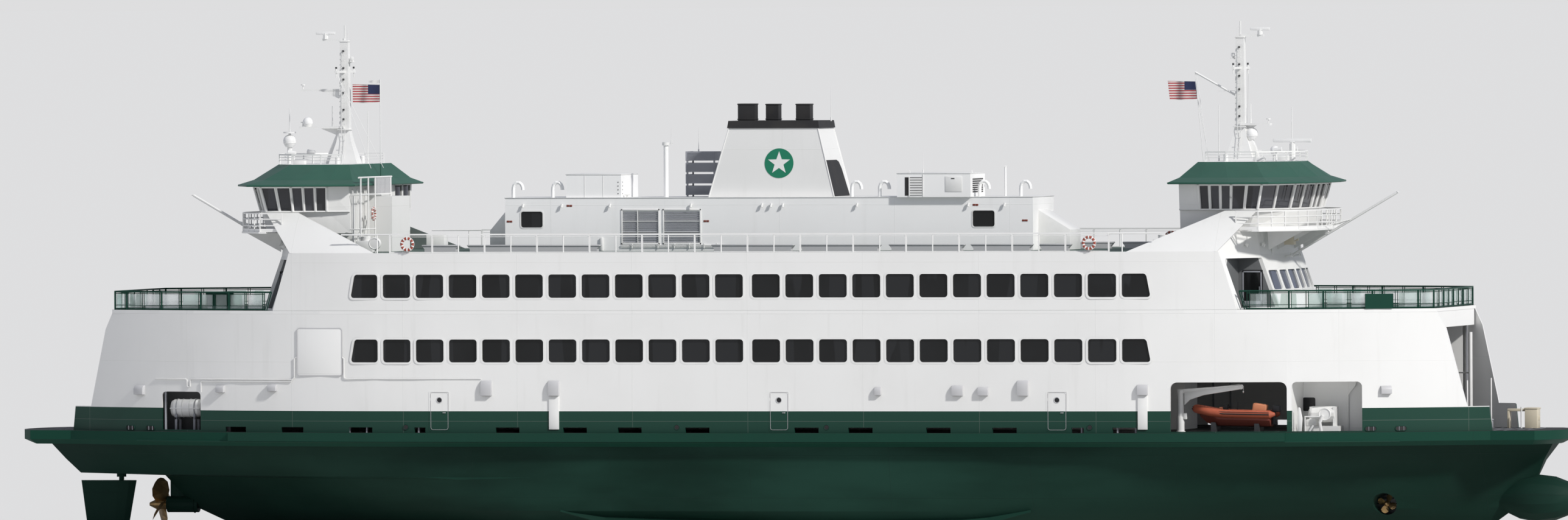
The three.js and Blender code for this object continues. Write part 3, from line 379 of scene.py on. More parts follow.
def rounded(x0: float, x1: float, z0: float, z1: float, radius: float, steps: int = 4) -> Outline:
    """Outline of a rectangle with rounded corners, as (x, z) pairs."""
    corners = [(x1 - radius, z1 - radius, 0), (x0 + radius, z1 - radius, 90),
               (x0 + radius, z0 + radius, 180), (x1 - radius, z0 + radius, 270)]
    outline = []
    for cx, cz, start in corners:
        outline += [(p.x, p.z) for p in arc((cx, 0, cz), radius, start, start + 90, steps)]
    return outline


def heading(azimuth: float, height: float) -> Vector:
    """Direction from the ship, by degrees round from starboard towards the bow and degrees up."""
    a, h = math.radians(azimuth), math.radians(height)
    return Vector((math.sin(a) * math.cos(h), -math.cos(a) * math.cos(h), math.sin(h)))


class Graph:
    """Short ways to add nodes to a shader tree."""

    def __init__(self, tree: bpy.types.NodeTree) -> None:
        """Works on the given tree."""
        self.tree = tree

    def fill(self, node: Node, inputs: dict[str | int, object]) -> Node:
        """Links each input given to a socket, or sets its plain value, and returns the node."""
        for key, value in inputs.items():
            if isinstance(value, Socket):
                self.tree.links.new(value, node.inputs[key])
            else:
                node.inputs[key].default_value = value
        return node

    def add(self, kind: str, inputs: dict[str | int, object], **settings: object) -> Node:
        """Adds a node, sets its properties and then its inputs."""
        node = self.tree.nodes.new(f"ShaderNode{kind}")
        for key, value in settings.items():
            setattr(node, key, value)
        return self.fill(node, inputs)

    def math(self, operation: str, *values: object, clamp: bool = False) -> Socket:
        """Adds a Math node over one to three sockets or numbers, and returns its result."""
        return self.add("Math", dict(enumerate(values)), operation=operation, use_clamp=clamp).outputs[0]

    def split(self, vector: Socket) -> tuple[Socket, ...]:
        """Splits a vector into its X, Y and Z."""
        return tuple(self.add("SeparateXYZ", {0: vector}).outputs)

    def mix(self, share: object, first: object, second: object) -> Socket:
        """Mixes two colours, and returns the result."""
        colours = {"Factor": share, 6: first, 7: second}
        return self.add("Mix", colours, data_type="RGBA").outputs[2]

    def stretched(self, vector: Socket, scale: Point) -> Socket:
        """Scales coordinates along each axis."""
        return self.add("Mapping", {"Vector": vector, "Scale": scale}).outputs[0]

    def noise(self, vector: Socket, scale: object, detail: float = 3.0) -> Socket:
        """Adds a noise texture, and returns its value."""
        return self.add("TexNoise", {"Vector": vector, "Scale": scale, "Detail": detail}).outputs["Fac"]

    def step(self, value: object, low: float, high: float) -> Socket:
        """Rises from 0 to 1 as the value goes from low to high."""
        ends = {"Value": value, "From Min": low, "From Max": high}
        return self.add("MapRange", ends, interpolation_type="SMOOTHSTEP").outputs[0]

    def bump(self, height: object, strength: float, distance: float, normal: object = None) -> Socket:
        """Turns a height into a normal, over another one where that is given."""
        inputs = {"Strength": strength, "Distance": distance, "Height": height}
        return self.add("Bump", inputs | ({"Normal": normal} if normal else {})).outputs[0]


def group(name: str, inputs: dict[str, tuple[str, object]], outputs: dict[str, str],
          wire: Callable[[Graph, Node], dict[str, object]]) -> bpy.types.NodeTree:
    """Makes a shader node group.

    Args:
        name: Name of the group.
        inputs: Kind of socket and first value of each input.
        outputs: Kind of socket of each output.
        wire: Adds the nodes after the group's input node, and gives what each output shows.

    Returns:
        The group.
    """
    tree = bpy.data.node_groups.new(name, "ShaderNodeTree")
    for label, (kind, value) in inputs.items():
        socket = tree.interface.new_socket(label, in_out="INPUT", socket_type=f"NodeSocket{kind}")
        if value is not None:
            socket.default_value = value
    for label, kind in outputs.items():
        tree.interface.new_socket(label, in_out="OUTPUT", socket_type=f"NodeSocket{kind}")
    graph = Graph(tree)
    graph.fill(tree.nodes.new("NodeGroupOutput"), wire(graph, tree.nodes.new("NodeGroupInput")))
    return tree


def wire_weather(graph: Graph, given: Node) -> dict[str, object]:
    """Paint that has been out in the weather: soft mottling, runs down its sides and a fine grain."""
    vector = given.outputs["Vector"]
    patches = graph.noise(vector, given.outputs["Patch Scale"], 4.0)
    mottled = graph.math("MULTIPLY", graph.step(patches, 0.35, 0.75), given.outputs["Mottle"])
    runs = graph.noise(graph.stretched(vector, (22.0, 22.0, 1.6)), 1.0, 5.0)
    run = graph.math("MULTIPLY", graph.step(runs, 0.56, 0.8), given.outputs["Runs"])
    soiled = graph.math("ADD", mottled, run, clamp=True)
    fine = graph.noise(vector, 260.0, 2.0)
    rough = graph.math("MULTIPLY_ADD", soiled, 0.25, given.outputs["Roughness"])
    return {"Colour": graph.mix(soiled, given.outputs["Colour"], given.outputs["Soil"]),
            "Roughness": graph.math("ADD", rough, graph.math("MULTIPLY", fine, 0.06)), "Height": fine}


def wire_seams(graph: Graph, given: Node) -> dict[str, object]:
    """Welded seams between plates: narrow lines on a grid."""
    x, _, z = graph.split(given.outputs["Vector"])
    lines = []
    for axis, pitch in ((x, given.outputs["Along"]), (z, given.outputs["Up"])):
        place = graph.math("FRACT", graph.math("DIVIDE", axis, pitch))
        away = graph.math("MULTIPLY", graph.math("ABSOLUTE", graph.math("SUBTRACT", place, 0.5)), 2.0)
        metres = graph.math("MULTIPLY", graph.math("SUBTRACT", 1.0, away), pitch)
        lines.append(graph.math("SUBTRACT", 1.0, graph.step(metres, 0.0015, 0.004)))
    seam = graph.math("MAXIMUM", *lines)
    return {"Seam": seam, "Height": graph.math("MULTIPLY", seam, 0.6)}


def wire_weave(graph: Graph, given: Node) -> dict[str, object]:
    """Plain cloth: threads that cross over and under each other."""
    x, _, z = graph.split(given.outputs["Vector"])
    waves = [graph.math("SINE", graph.math("MULTIPLY", axis, given.outputs["Threads"])) for axis in (x, z)]
    return {"Height": graph.math("MULTIPLY_ADD", graph.math("MULTIPLY", *waves), 0.5, 0.5)}


class Groups:
    """The shader node groups that the finishes share, built once."""

    def __init__(self) -> None:
        """Builds the groups."""
        self.weather = group(
            "weathering",
            {"Vector": ("Vector", None), "Colour": ("Color", (0.8, 0.8, 0.8, 1)),
             "Soil": ("Color", (0.4, 0.4, 0.4, 1)), "Patch Scale": ("Float", 3.0),
             "Mottle": ("Float", 0.1), "Runs": ("Float", 0.1), "Roughness": ("Float", 0.4)},
            {"Colour": "Color", "Roughness": "Float", "Height": "Float"}, wire_weather)
        self.seams = group(
            "plate seams",
            {"Vector": ("Vector", None), "Along": ("Float", 0.6), "Up": ("Float", 0.25)},
            {"Seam": "Float", "Height": "Float"}, wire_seams)
        self.weave = group(
            "weave",
            {"Vector": ("Vector", None), "Threads": ("Float", 3000.0)},
            {"Height": "Float"}, wire_weave)


@dataclass(frozen=True)
class Finish:
    """What every finish has: the material's name and the record's slot that it belongs to."""

    name: str
    slot: str

    def start(self) -> tuple[bpy.types.Material, Graph, Node, Socket]:
        """Starts the material, and gives it with its graph, its shader and the object coordinates."""
        material = bpy.data.materials.new(self.name)
        material.use_nodes = True
        graph = Graph(material.node_tree)
        place = graph.add("TexCoord", {}).outputs["Object"]
        return material, graph, material.node_tree.nodes["Principled BSDF"], place


@dataclass(frozen=True)
class Paint(Finish):
    """A painted or moulded surface, with weathering and, where given, plate seams."""

    colour: Colour
    soil: Colour
    roughness: float = 0.42
    metallic: float = 0.0
    coat: float = 0.0
    mottle: float = 0.12
    runs: float = 0.0
    patch_scale: float = 3.0
    plates: tuple[float, float] | None = None
    seam_shade: float = 0.1
    seam_bump: float = 0.0012
    grain: float = 0.0002
    flat: bool = False  # plates that lie on a deck, so that their grid runs along X and Y
    gloss: float = 0.5

    def banded(self, graph: Graph, place: Socket,
               colour: Socket) -> Socket:
        """Paints any second colour over the first. Here there is none."""
        return colour

    def build(self, groups: Groups) -> bpy.types.Material:
        """Builds the material.

        Args:
            groups: The shared node groups.

        Returns:
            The material.
        """
        material, graph, shader, place = self.start()
        weather = graph.add(
            "Group",
            {"Vector": place, "Colour": self.colour, "Soil": self.soil, "Patch Scale": self.patch_scale,
             "Mottle": self.mottle, "Runs": self.runs, "Roughness": self.roughness},
            node_tree=groups.weather).outputs
        colour = self.banded(graph, place, weather["Colour"])
        normal = graph.bump(weather["Height"], 0.3, self.grain)
        if self.plates:
            colour, normal = self.seamed(graph, groups, place, colour, normal)
        graph.fill(shader, {
            "Base Color": colour, "Roughness": weather["Roughness"], "Normal": normal,
            "Metallic": self.metallic, "Coat Weight": self.coat, "Specular IOR Level": self.gloss})
        return material

    def seamed(self, graph: Graph, groups: Groups, place: Socket, colour: Socket,
               normal: Socket) -> tuple[Socket, Socket]:
        """Adds the seams between plates to a colour and a normal, and returns both."""
        if self.flat:
            place = graph.add("Mapping", {"Rotation": (math.pi / 2, 0, 0), "Vector": place}).outputs[0]
        along, up = self.plates
        grid = {"Vector": place, "Along": along, "Up": up}
        seams = graph.add("Group", grid, node_tree=groups.seams).outputs
        colour = graph.mix(graph.math("MULTIPLY", seams["Seam"], self.seam_shade), colour, self.soil)
        return colour, graph.bump(seams["Height"], 0.4, self.seam_bump, normal)


@dataclass(frozen=True)
class SidePaint(Paint):
    """White side paint over a green band, which the inside of the shell doesn't have."""

    below: Colour = GREEN
    line: float = 0.673
    end_line: float = 0.6846
    step_place: float = 3.2

    def banded(self, graph: Graph, place: Socket,
               colour: Socket) -> Socket:
        """Paints what lies under the line in the second colour, where a face looks outward."""
        x, y, z = graph.split(place)
        facing = graph.split(place.node.outputs["Normal"])[1]
        outside = graph.math("GREATER_THAN", graph.math("MULTIPLY", y, facing), -0.02)
        far = graph.math("GREATER_THAN", graph.math("ABSOLUTE", x), self.step_place)
        line = graph.math("MULTIPLY_ADD", far, self.end_line - self.line, self.line)
        under = graph.math("LESS_THAN", z, line)
        return graph.mix(graph.math("MULTIPLY", outside, under), colour, self.below)


@dataclass(frozen=True)
class TopPaint(Paint):
    """Paint on one side of a height, with white on the other."""

    white: Colour = WHITE
    top: float = 1.9595
    rule: str = "GREATER_THAN"

    def banded(self, graph: Graph, place: Socket,
               colour: Socket) -> Socket:
        """Paints all that stands over the height, or under it, white."""
        return graph.mix(graph.math(self.rule, graph.split(place)[2], self.top), colour, self.white)


@dataclass(frozen=True)
class FrontPaint(Paint):
    """White on the cabin's front, with grey painted shade inside the alcoves of its doors."""

    # painted shade: grey for the alcoves, which lie in the shadow of the balcony over them
    grey: Colour = (0.16, 0.165, 0.17, 1)
    skin: float = 0.02
    alcove: tuple[float, float] = (0.49, 1.478)  # its inner wall and its ceiling

    def banded(self, graph: Graph, place: Socket,
               colour: Socket) -> Socket:
        """Paints what lies behind the front's face grey, out from the doors' walls, as painted shade in the
        alcoves.
        """
        x, y, z = graph.split(place)
        x, y = graph.math("ABSOLUTE", x), graph.math("ABSOLUTE", y)
        face = graph.math("MULTIPLY_ADD", z, -0.355, 3.205 - 0.042 + 0.205 - self.skin)
        face = graph.math("MULTIPLY_ADD", y, -0.41, face)
        wall, ceiling = self.alcove
        behind, beyond = graph.math("LESS_THAN", x, face), graph.math("GREATER_THAN", y, wall)
        inside = graph.math("MULTIPLY", behind, beyond)
        under = graph.math("LESS_THAN", z, ceiling)
        # painted shade: grey where the front lies back inside an alcove, under its ceiling
        return graph.mix(graph.math("MULTIPLY", inside, under), colour, self.grey)


@dataclass(frozen=True)
class HullPaint(Paint):
    """Bottom paint with a painted highlight in cloudy patches amidships, and deck paint on the car deck."""

    deck: Colour = (0.035, 0.038, 0.038, 1)
    # painted highlight: a lighter green for the middle of the bottom
    amidships_highlight: Colour = (0.014, 0.052, 0.037, 1)
    topside: Colour = GREEN

    def banded(self, graph: Graph, place: Socket,
               colour: Socket) -> Socket:
        """Lightens the middle of the bottom with a painted highlight, and paints the guard and the deck in
        their own colours.
        """
        x, _, z = graph.split(place)
        # painted highlight: lighter green in cloudy patches, strongest amidships and weaker towards the ends
        clouds = graph.noise(graph.stretched(place, (0.55, 1.0, 2.2)), 1.3, 4.0)
        middle = graph.math("SUBTRACT", 1.0, graph.step(graph.math("ABSOLUTE", x), 0.6, 3.4))
        share = graph.math("MULTIPLY_ADD", middle, 0.6, 0.3)
        amidships_highlight = graph.math("MULTIPLY", graph.step(clouds, 0.35, 0.7), share)
        colour = graph.mix(amidships_highlight, colour, self.amidships_highlight)
        colour = graph.mix(graph.step(z, 0.486, 0.488), colour, self.topside)
        return graph.mix(graph.step(z, 0.5594, 0.5598), colour, self.deck)


@dataclass(frozen=True)
class Cloth(Finish):
    """Woven cloth in stripes along the height of the ship, with a plain corner by its hoist."""

    colours: tuple[Colour, Colour]
    stripe: float
    low: float
    corner: tuple[float, float] = (9.0, 9.0)  # beyond the cloth, so that it has no corner
    corner_colour: Colour = (0.012, 0.02, 0.07, 1)
    roughness: float = 0.85

    def build(self, groups: Groups) -> bpy.types.Material:
        """Builds the material from the shared node groups."""
        material, graph, shader, place = self.start()
        x, _, z = graph.split(place)
        turns = graph.math("DIVIDE", graph.math("SUBTRACT", z, self.low), 2 * self.stripe)
        band = graph.math("GREATER_THAN", graph.math("FRACT", turns), 0.5)
        near, high = (graph.math("GREATER_THAN", axis, start) for axis, start in zip((x, z), self.corner))
        weave = graph.add("Group", {"Vector": place}, node_tree=groups.weave).outputs["Height"]
        stripes = graph.mix(band, *self.colours)
        colour = graph.mix(graph.math("MULTIPLY", near, high), stripes, self.corner_colour)
        graph.fill(shader, {"Base Color": colour, "Normal": graph.bump(weave, 0.5, 0.0002),
                            "Roughness": self.roughness, "Sheen Weight": 0.2})
        return material


@dataclass(frozen=True)
class Glass(Finish):
    """Tinted window glass that gives a dim view of what is inside."""

    tint: Colour
    clear: float = 0.0
    roughness: float = 0.06
    gloss: float = 0.35

    def build(self, groups: Groups) -> bpy.types.Material:
        """Builds the material without the groups: glass shows upright bands of dim light from inside."""
        material, graph, shader, place = self.start()
        bands = graph.step(graph.noise(graph.stretched(place, (9.0, 9.0, 0.9)), 1.0, 1.0), 0.5, 0.515)
        red, green, blue, _ = self.tint
        deep = graph.mix(graph.step(graph.noise(place, 4.0, 2.0), 0.3, 0.8), self.tint,
                         (red * 1.5, green * 1.5, blue * 1.55, 1))
        graph.fill(shader, {
            "Base Color": graph.mix(bands, deep, (red * 2.0, green * 2.0, blue * 2.1, 1)),
            "Normal": graph.bump(graph.noise(place, 7.0, 1.0), 0.25, 0.0015), "Roughness": self.roughness,
            "Transmission Weight": self.clear, "IOR": 1.5, "Specular IOR Level": self.gloss})
        return material


# The CAD nodes that show as they are, by finish
DRESSED = {
    "hull": "rudder bilge_keel_starboard bilge_keel_port",
    "bronze": "propeller thruster_propeller",
    "side": "shell_door_starboard_aft shell_door_starboard_mid shell_door_starboard_fore "
            "shell_door_port_aft shell_door_port_mid shell_door_port_fore",
    "dark_green": "end_rail_aft end_rail_fore",
    "deck": "passenger_deck",
    "sun_deck": "sun_deck",
    "white": "centre_casing funnel pilothouse_aft pilothouse_fore mooring_walls_fore",
    "front": "cabin_front_aft cabin_front_fore",
    "glass": "cabin_door_aft_starboard cabin_door_aft_port cabin_door_fore_starboard cabin_door_fore_port",
    "house": "deck_house air_unit machinery_box",
    "trim": "sun_rail_starboard sun_rail_port balcony_aft balcony_fore mast_aft mast_fore radar_aft "
            "radar_fore radar_bow davit_column davit_arm mooring_winch",
    "grey": "cooler",
    "soot_and_shade": "funnel_cap",
    "roof": "pilothouse_roof_aft pilothouse_roof_fore",
    # painted shade: mooring_walls_aft and boat_cradle take the near-black console grey for the dark of their
    # bays, where mooring_walls_fore stays white
    "console": "console_aft console_fore boat_cradle mooring_walls_aft",
    "orange": "rescue_boat",
    "canister": "life_raft",
    "bunting_aft": "flag_aft flag_fore",
}


@dataclass
class Ferry:
    """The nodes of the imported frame."""

    nodes: dict[str, bpy.types.Object]

    def dress(self) -> None:
        """Gives the CAD nodes their finishes."""
        for finish, names in DRESSED.items():
            for name in names.split():
                mesh = self.nodes[name].data
                mesh.materials.clear()
                mesh.materials.append(Shape.palette[finish][0])

    def smoothed(self, finish: str, *names: str) -> None:
        """Replaces CAD nodes by merged copies whose curved faces shade smoothly.

        Args:
            finish: Key of the finish.
            names: The nodes, all of the root body.
        """
        for name in names:
            shape = Shape()
            shape.bm.from_mesh(self.nodes[name].data)
            shape.turned(self.nodes[name].matrix_world)
            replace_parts(shape.piece(f"{name}_skin", finish, smooth=24), name)


@dataclass
class Sides:
    """The side shell and cabin side: windows, doors' details, vents, scuppers and trim."""

    ferry: Ferry
    first_window: float = 0.0223
    pitch: float = 0.1795
    width: float = 0.1535
    rows: Pairs = ((0.927, 1.049), (1.264, 1.388))
    slant: float = 0.023
    count: int = 12
    corner: float = 0.018
    rim: float = 0.009
    vents: tuple[tuple[float, float, float, float, bool], ...] = (
        # place along the ship, width, foot, head, with a duct below
        (-3.392, 0.062, 0.7525, 0.8018, False), (-2.895, 0.048, 0.768, 0.805, False),
        (-2.591, 0.05, 0.776, 0.812, False), (-1.407, 0.058, 0.754, 0.8336, False),
        (-1.043, 0.058, 0.754, 0.8336, True), (0.699, 0.034, 0.757, 0.8, False),
        (1.124, 0.06, 0.754, 0.808, False), (1.261, 0.055, 0.755, 0.8, False),
        (1.473, 0.058, 0.754, 0.8336, False), (2.1055, 0.055, 0.757, 0.811, True),
        (3.326, 0.056, 0.757, 0.799, False))
    vent_depth: float = 0.021
    duct_foot: float = 0.578
    scuppers: tuple[float, ...] = (-1.8454, -0.3819, 0.4217, 1.8274)
    fairleads: tuple[float, ...] = (-3.4566, -3.3293, 3.252, 3.3983)
    cover: tuple[float, float, float, float] = (-2.4511, -2.1956, 0.856, 1.107)
    pipes: tuple[Pairs, ...] = (
        ((-3.296, 0.8376), (-3.1105, 0.8376), (-3.1013, 0.832), (-3.0994, 0.7985), (-3.094, 0.7954),
         (-3.0875, 0.7954), (-3.0822, 0.7985), (-3.0813, 0.832), (-3.0735, 0.8376), (-2.481, 0.8376),
         (-2.47, 0.844), (-2.4657, 0.852), (-2.4657, 0.948), (-2.453, 0.9552)),
        ((-3.0161, 0.768), (-3.0161, 0.82), (-3.009, 0.8265), (-2.485, 0.8265), (-2.475, 0.8376)),
        ((-2.195, 0.9552), (-2.1855, 0.948), (-2.1855, 0.852), (-2.179, 0.8445), (-2.17, 0.8424),
         (-1.437, 0.8424)))

    def window(self, k: int, row: tuple[float, float], grow: float) -> Outline:
        """Outline of one window, wider by grow on every side.

        Args:
            k: Its number, 0 to 11 forward of the middle and -1 to -12 aft.
            row: Height of its foot and head.
            grow: How far the outline stands out from the opening.

        Returns:
            The outline as (x, z) pairs.
        """
        mirror = 1 if k >= 0 else -1
        n = k if k >= 0 else -k - 1
        x0 = self.first_window + n * self.pitch - grow
        x1 = x0 + self.width + 2 * grow
        z0, z1 = row[0] - grow, row[1] + grow
        outline = rounded(x0, x1, z0, z1, self.corner + grow)
        if n == self.count - 1:
            outline = [(x - self.slant * (z - z0) / (z1 - z0) * (x - x0) / (x1 - x0), z) for x, z in outline]
        return [(mirror * x, z) for x, z in outline]

    def on_side(self, outline: Iterable[tuple[float, float]], side: float, out: float) -> list[Vector]:
        """Lifts an (x, z) outline onto the side shell, standing out from it by out."""
        return [Vector((x, side * (PLAN.breadth(x) + out), z)) for x, z in outline]

    def glaze(self) -> None:
        """Builds the panes and their raised rims on both sides."""
        for side in Side:
            panes, rims = Shape(), Shape()
            for row in self.rows:
                for k in range(-self.count, self.count):
                    panes.plate(self.on_side(self.window(k, row, 0.0008), side.value, -0.011), 0.003)
                    inner, outer = self.window(k, row, -0.001), self.window(k, row, self.rim)
                    rims.bridged([self.on_side(line, side.value, out) for line, out in (
                        (inner, -0.009), (inner, 0.0013), (outer, 0.001), (outer, -0.0012))])
            panes.piece(f"window_glass_{side.label}", "glass")
            rims.piece(f"window_rims_{side.label}", "trim")

    def door(self, side: Side, node: str, flanges: Shape) -> None:
        """Builds one shell door's porthole, handle and bead, and adds the flange round its opening."""
        low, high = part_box(node)
        x0, x1, z0, z1 = low.x + 0.0047, high.x, low.z, high.z
        middle = (x0 + x1) / 2
        place = (0, side.value * PLAN.half, 0)

        def loop(grow: float, radius: float, out: float) -> list[Point]:
            """Outline round the leaf, grown and lifted off its face."""
            return [(x, out, z) for x, z in rounded(x0 - grow, x1 + grow, z0 - grow, z1 + grow, radius)]

        bead = Shape().at(place, 1, side.value)
        bead.bridged([loop(-0.0008, 0.012, -0.0005), loop(-0.0008, 0.012, 0.0008),
                      loop(-0.0022, 0.0106, 0.0008), loop(-0.0022, 0.0106, -0.0005)])
        bead.ring((middle, 0.0006, 0.731), (0, 1, 0), 0.0145, 0.0022, section=6)
        bead.rod((x1 - 0.016, 0, 0.665), (x1 - 0.016, 0.005, 0.665), 0.0022, sides=10)
        bead.box((x1 - 0.03, 0.0035, 0.6635), (x1 - 0.014, 0.0055, 0.6665), 0.0008)
        bead.piece(f"{node}_bead", "vent", f"{node}_body")
        glass = Shape().at(place, 1, side.value)
        glass.rod((middle, -0.001, 0.731), (middle, 0.001, 0.731), 0.014, sides=24)
        glass.piece(f"{node}_porthole", "glass", f"{node}_body")
        flanges.at(place, 1, side.value).bridged([
            loop(0.0013, 0.004, -0.006), loop(0.0013, 0.004, 0.0008),
            loop(0.0085, 0.01, 0.0008), loop(0.0085, 0.01, -0.0005)])

    def doors(self) -> None:
        """Builds the shell doors' details and the flanges round their openings."""
        flanges = Shape()
        for side in Side:
            for place in ("aft", "mid", "fore"):
                self.door(side, f"shell_door_{side.label}_{place}", flanges)
        flanges.piece("shell_door_flanges", "side")

    def at(self, x: float) -> Matrix:
        """Frame on the starboard shell at a place: X along the plating, Y into the ship, Z up."""
        return Matrix.Translation((x, -PLAN.breadth(x), 0)) @ Matrix.Rotation(-PLAN.slope(x), 4, "Z")

    def build_vents(self) -> None:
        """Builds the vents' hoods, black plates under them as painted shade in their mouths, and the ducts
        below two of them.
        """
        hoods, grilles, ducts = Shape(), Shape(), Shape()
        out = self.vent_depth
        for x, width, foot, head, duct in self.vents:
            place = self.at(x)
            half = width / 2
            bend = 0.5 * (head - foot)
            line = [(half, 0.003, foot), (half, -out, foot)]
            line += [(half, p.y, p.z) for p in arc((0, 0, 0), 1.0, 180, 90, 6, "YZ")]
            line[2:] = [(half, y * out, head - bend + bend * z) for _, y, z in line[2:]]
            hoods.plate([place @ Vector(p) for p in line + [(half, 0.003, head)]], width, 0.0012)
            # painted shade: a black plate in the hood's mouth
            mouth = [(-0.42 * width, -0.88 * out), (0.42 * width, -0.88 * out), (0.42 * width, 0.002),
                     (-0.42 * width, 0.002)]
            grilles.plate([place @ Vector((*p, foot - 0.0006)) for p in mouth], 0.0012)
            if duct:
                sheet = [(a * 0.46 * width, -0.007, z) for a, z in (
                    (-1, self.duct_foot), (1, self.duct_foot), (1, foot + 0.01), (-1, foot + 0.01))]
                ducts.plate([place @ Vector(p) for p in reversed(sheet)], 0.01, 0.0012)
        hoods.end_for_end().piece("vent_hoods", "vent")
        grilles.end_for_end().piece("vent_mouth_shade", "soot_and_shade")
        ducts.end_for_end().piece("vent_ducts", "trim")

    def build_openings(self) -> None:
        """Builds the rims and dark throats of the scuppers, and the fairleads with the posts in them; the
        throats are painted shade in the holes.
        """
        rims, throats, posts = Shape(), Shape(), Shape()
        for x in self.scuppers:
            place = self.at(x)
            inward = place.to_3x3() @ Vector((0, 1, 0))
            middle = place @ Vector((0, 0, 0.5894))
            rims.ring(middle - inward * 0.0004, inward, 0.0135, 0.0018, section=6)
            # painted shade: a black plug in the scupper's hole
            throats.rod(middle - inward * 0.0008, middle + inward * 0.002, 0.0125, sides=20)
        for x in self.fairleads:
            place = self.at(x)

            def loop(grow: float, out: float) -> list[Vector]:
                """Outline round the fairlead, grown and lifted off the shell."""
                outline = rounded(-0.029 - grow, 0.029 + grow, 0.566 - grow, 0.588 + grow, 0.0105 + grow)
                return [place @ Vector((px, -out, pz)) for px, pz in outline]

            rims.bridged([loop(0.0, -0.001), loop(0.0, 0.0022), loop(0.003, 0.0018), loop(0.0036, -0.001)])
            # painted shade: a black sheet in the fairlead's opening
            throats.plate(list(reversed(loop(-0.0002, 0.0006))), 0.0015)
            for px in (-0.011, 0.014):
                foot = place @ Vector((px, -0.0015, 0.5665))
                posts.rod(foot, foot + Vector((0, 0, 0.021)), 0.0016, sides=8)
        rims.end_for_end().piece("shell_opening_rims", "dark_green")
        throats.end_for_end().piece("shell_opening_shade", "soot_and_shade")
        posts.end_for_end().piece("fairlead_posts", "grey")

    def slide_cover(self) -> None:
        """Builds the evacuation slide's cover in its gasket, and the pipes along the shell."""
        x0, x1, z0, z1 = self.cover
        ends = [Vector((x, -PLAN.breadth(x), 0)) for x in (x0, x1)]

        def loop(grow: float, out: float) -> list[Vector]:
            """Outline round the cover, on the flat chord between its ends."""
            outline = rounded(x0 - grow, x1 + grow, z0 - grow, z1 + grow, 0.015 + grow)
            return [ends[0].lerp(ends[1], (x - x0) / (x1 - x0)) + Vector((0, -out, z)) for x, z in outline]

        cover = Shape().plate(list(reversed(loop(-0.003, 0.0032))), 0.006, 0.001)
        cover.end_for_end().piece("slide_covers", "white")
        gasket = Shape().bridged([loop(-0.003, 0.0), loop(-0.003, 0.004), loop(0.0005, 0.004),
                                  loop(0.001, -0.001)])
        pipes = Shape()
        for run in self.pipes:
            line = []
            for (xa, za), (xb, zb) in zip(run, run[1:]):
                spans = max(1, round(abs(xb - xa) / 0.12))
                line += [(xa + (xb - xa) * k / spans, za + (zb - za) * k / spans) for k in range(spans)]
            line.append(run[-1])
            pipes.pipe([Vector((x, -PLAN.breadth(x) - 0.0028, z)) for x, z in line], 0.003, 6)
        gasket.end_for_end().piece("slide_gaskets", "vent")
        pipes.end_for_end().piece("side_pipes", "trim")

    def build(self) -> None:
        """Builds and dresses everything on the ship's sides."""
        self.ferry.smoothed("side", "side_shell_starboard", "side_shell_port")
        self.ferry.smoothed("white", "cabin_side_starboard", "cabin_side_port")
        self.glaze()
        self.doors()
        self.build_vents()
        self.build_openings()
        self.slide_cover()


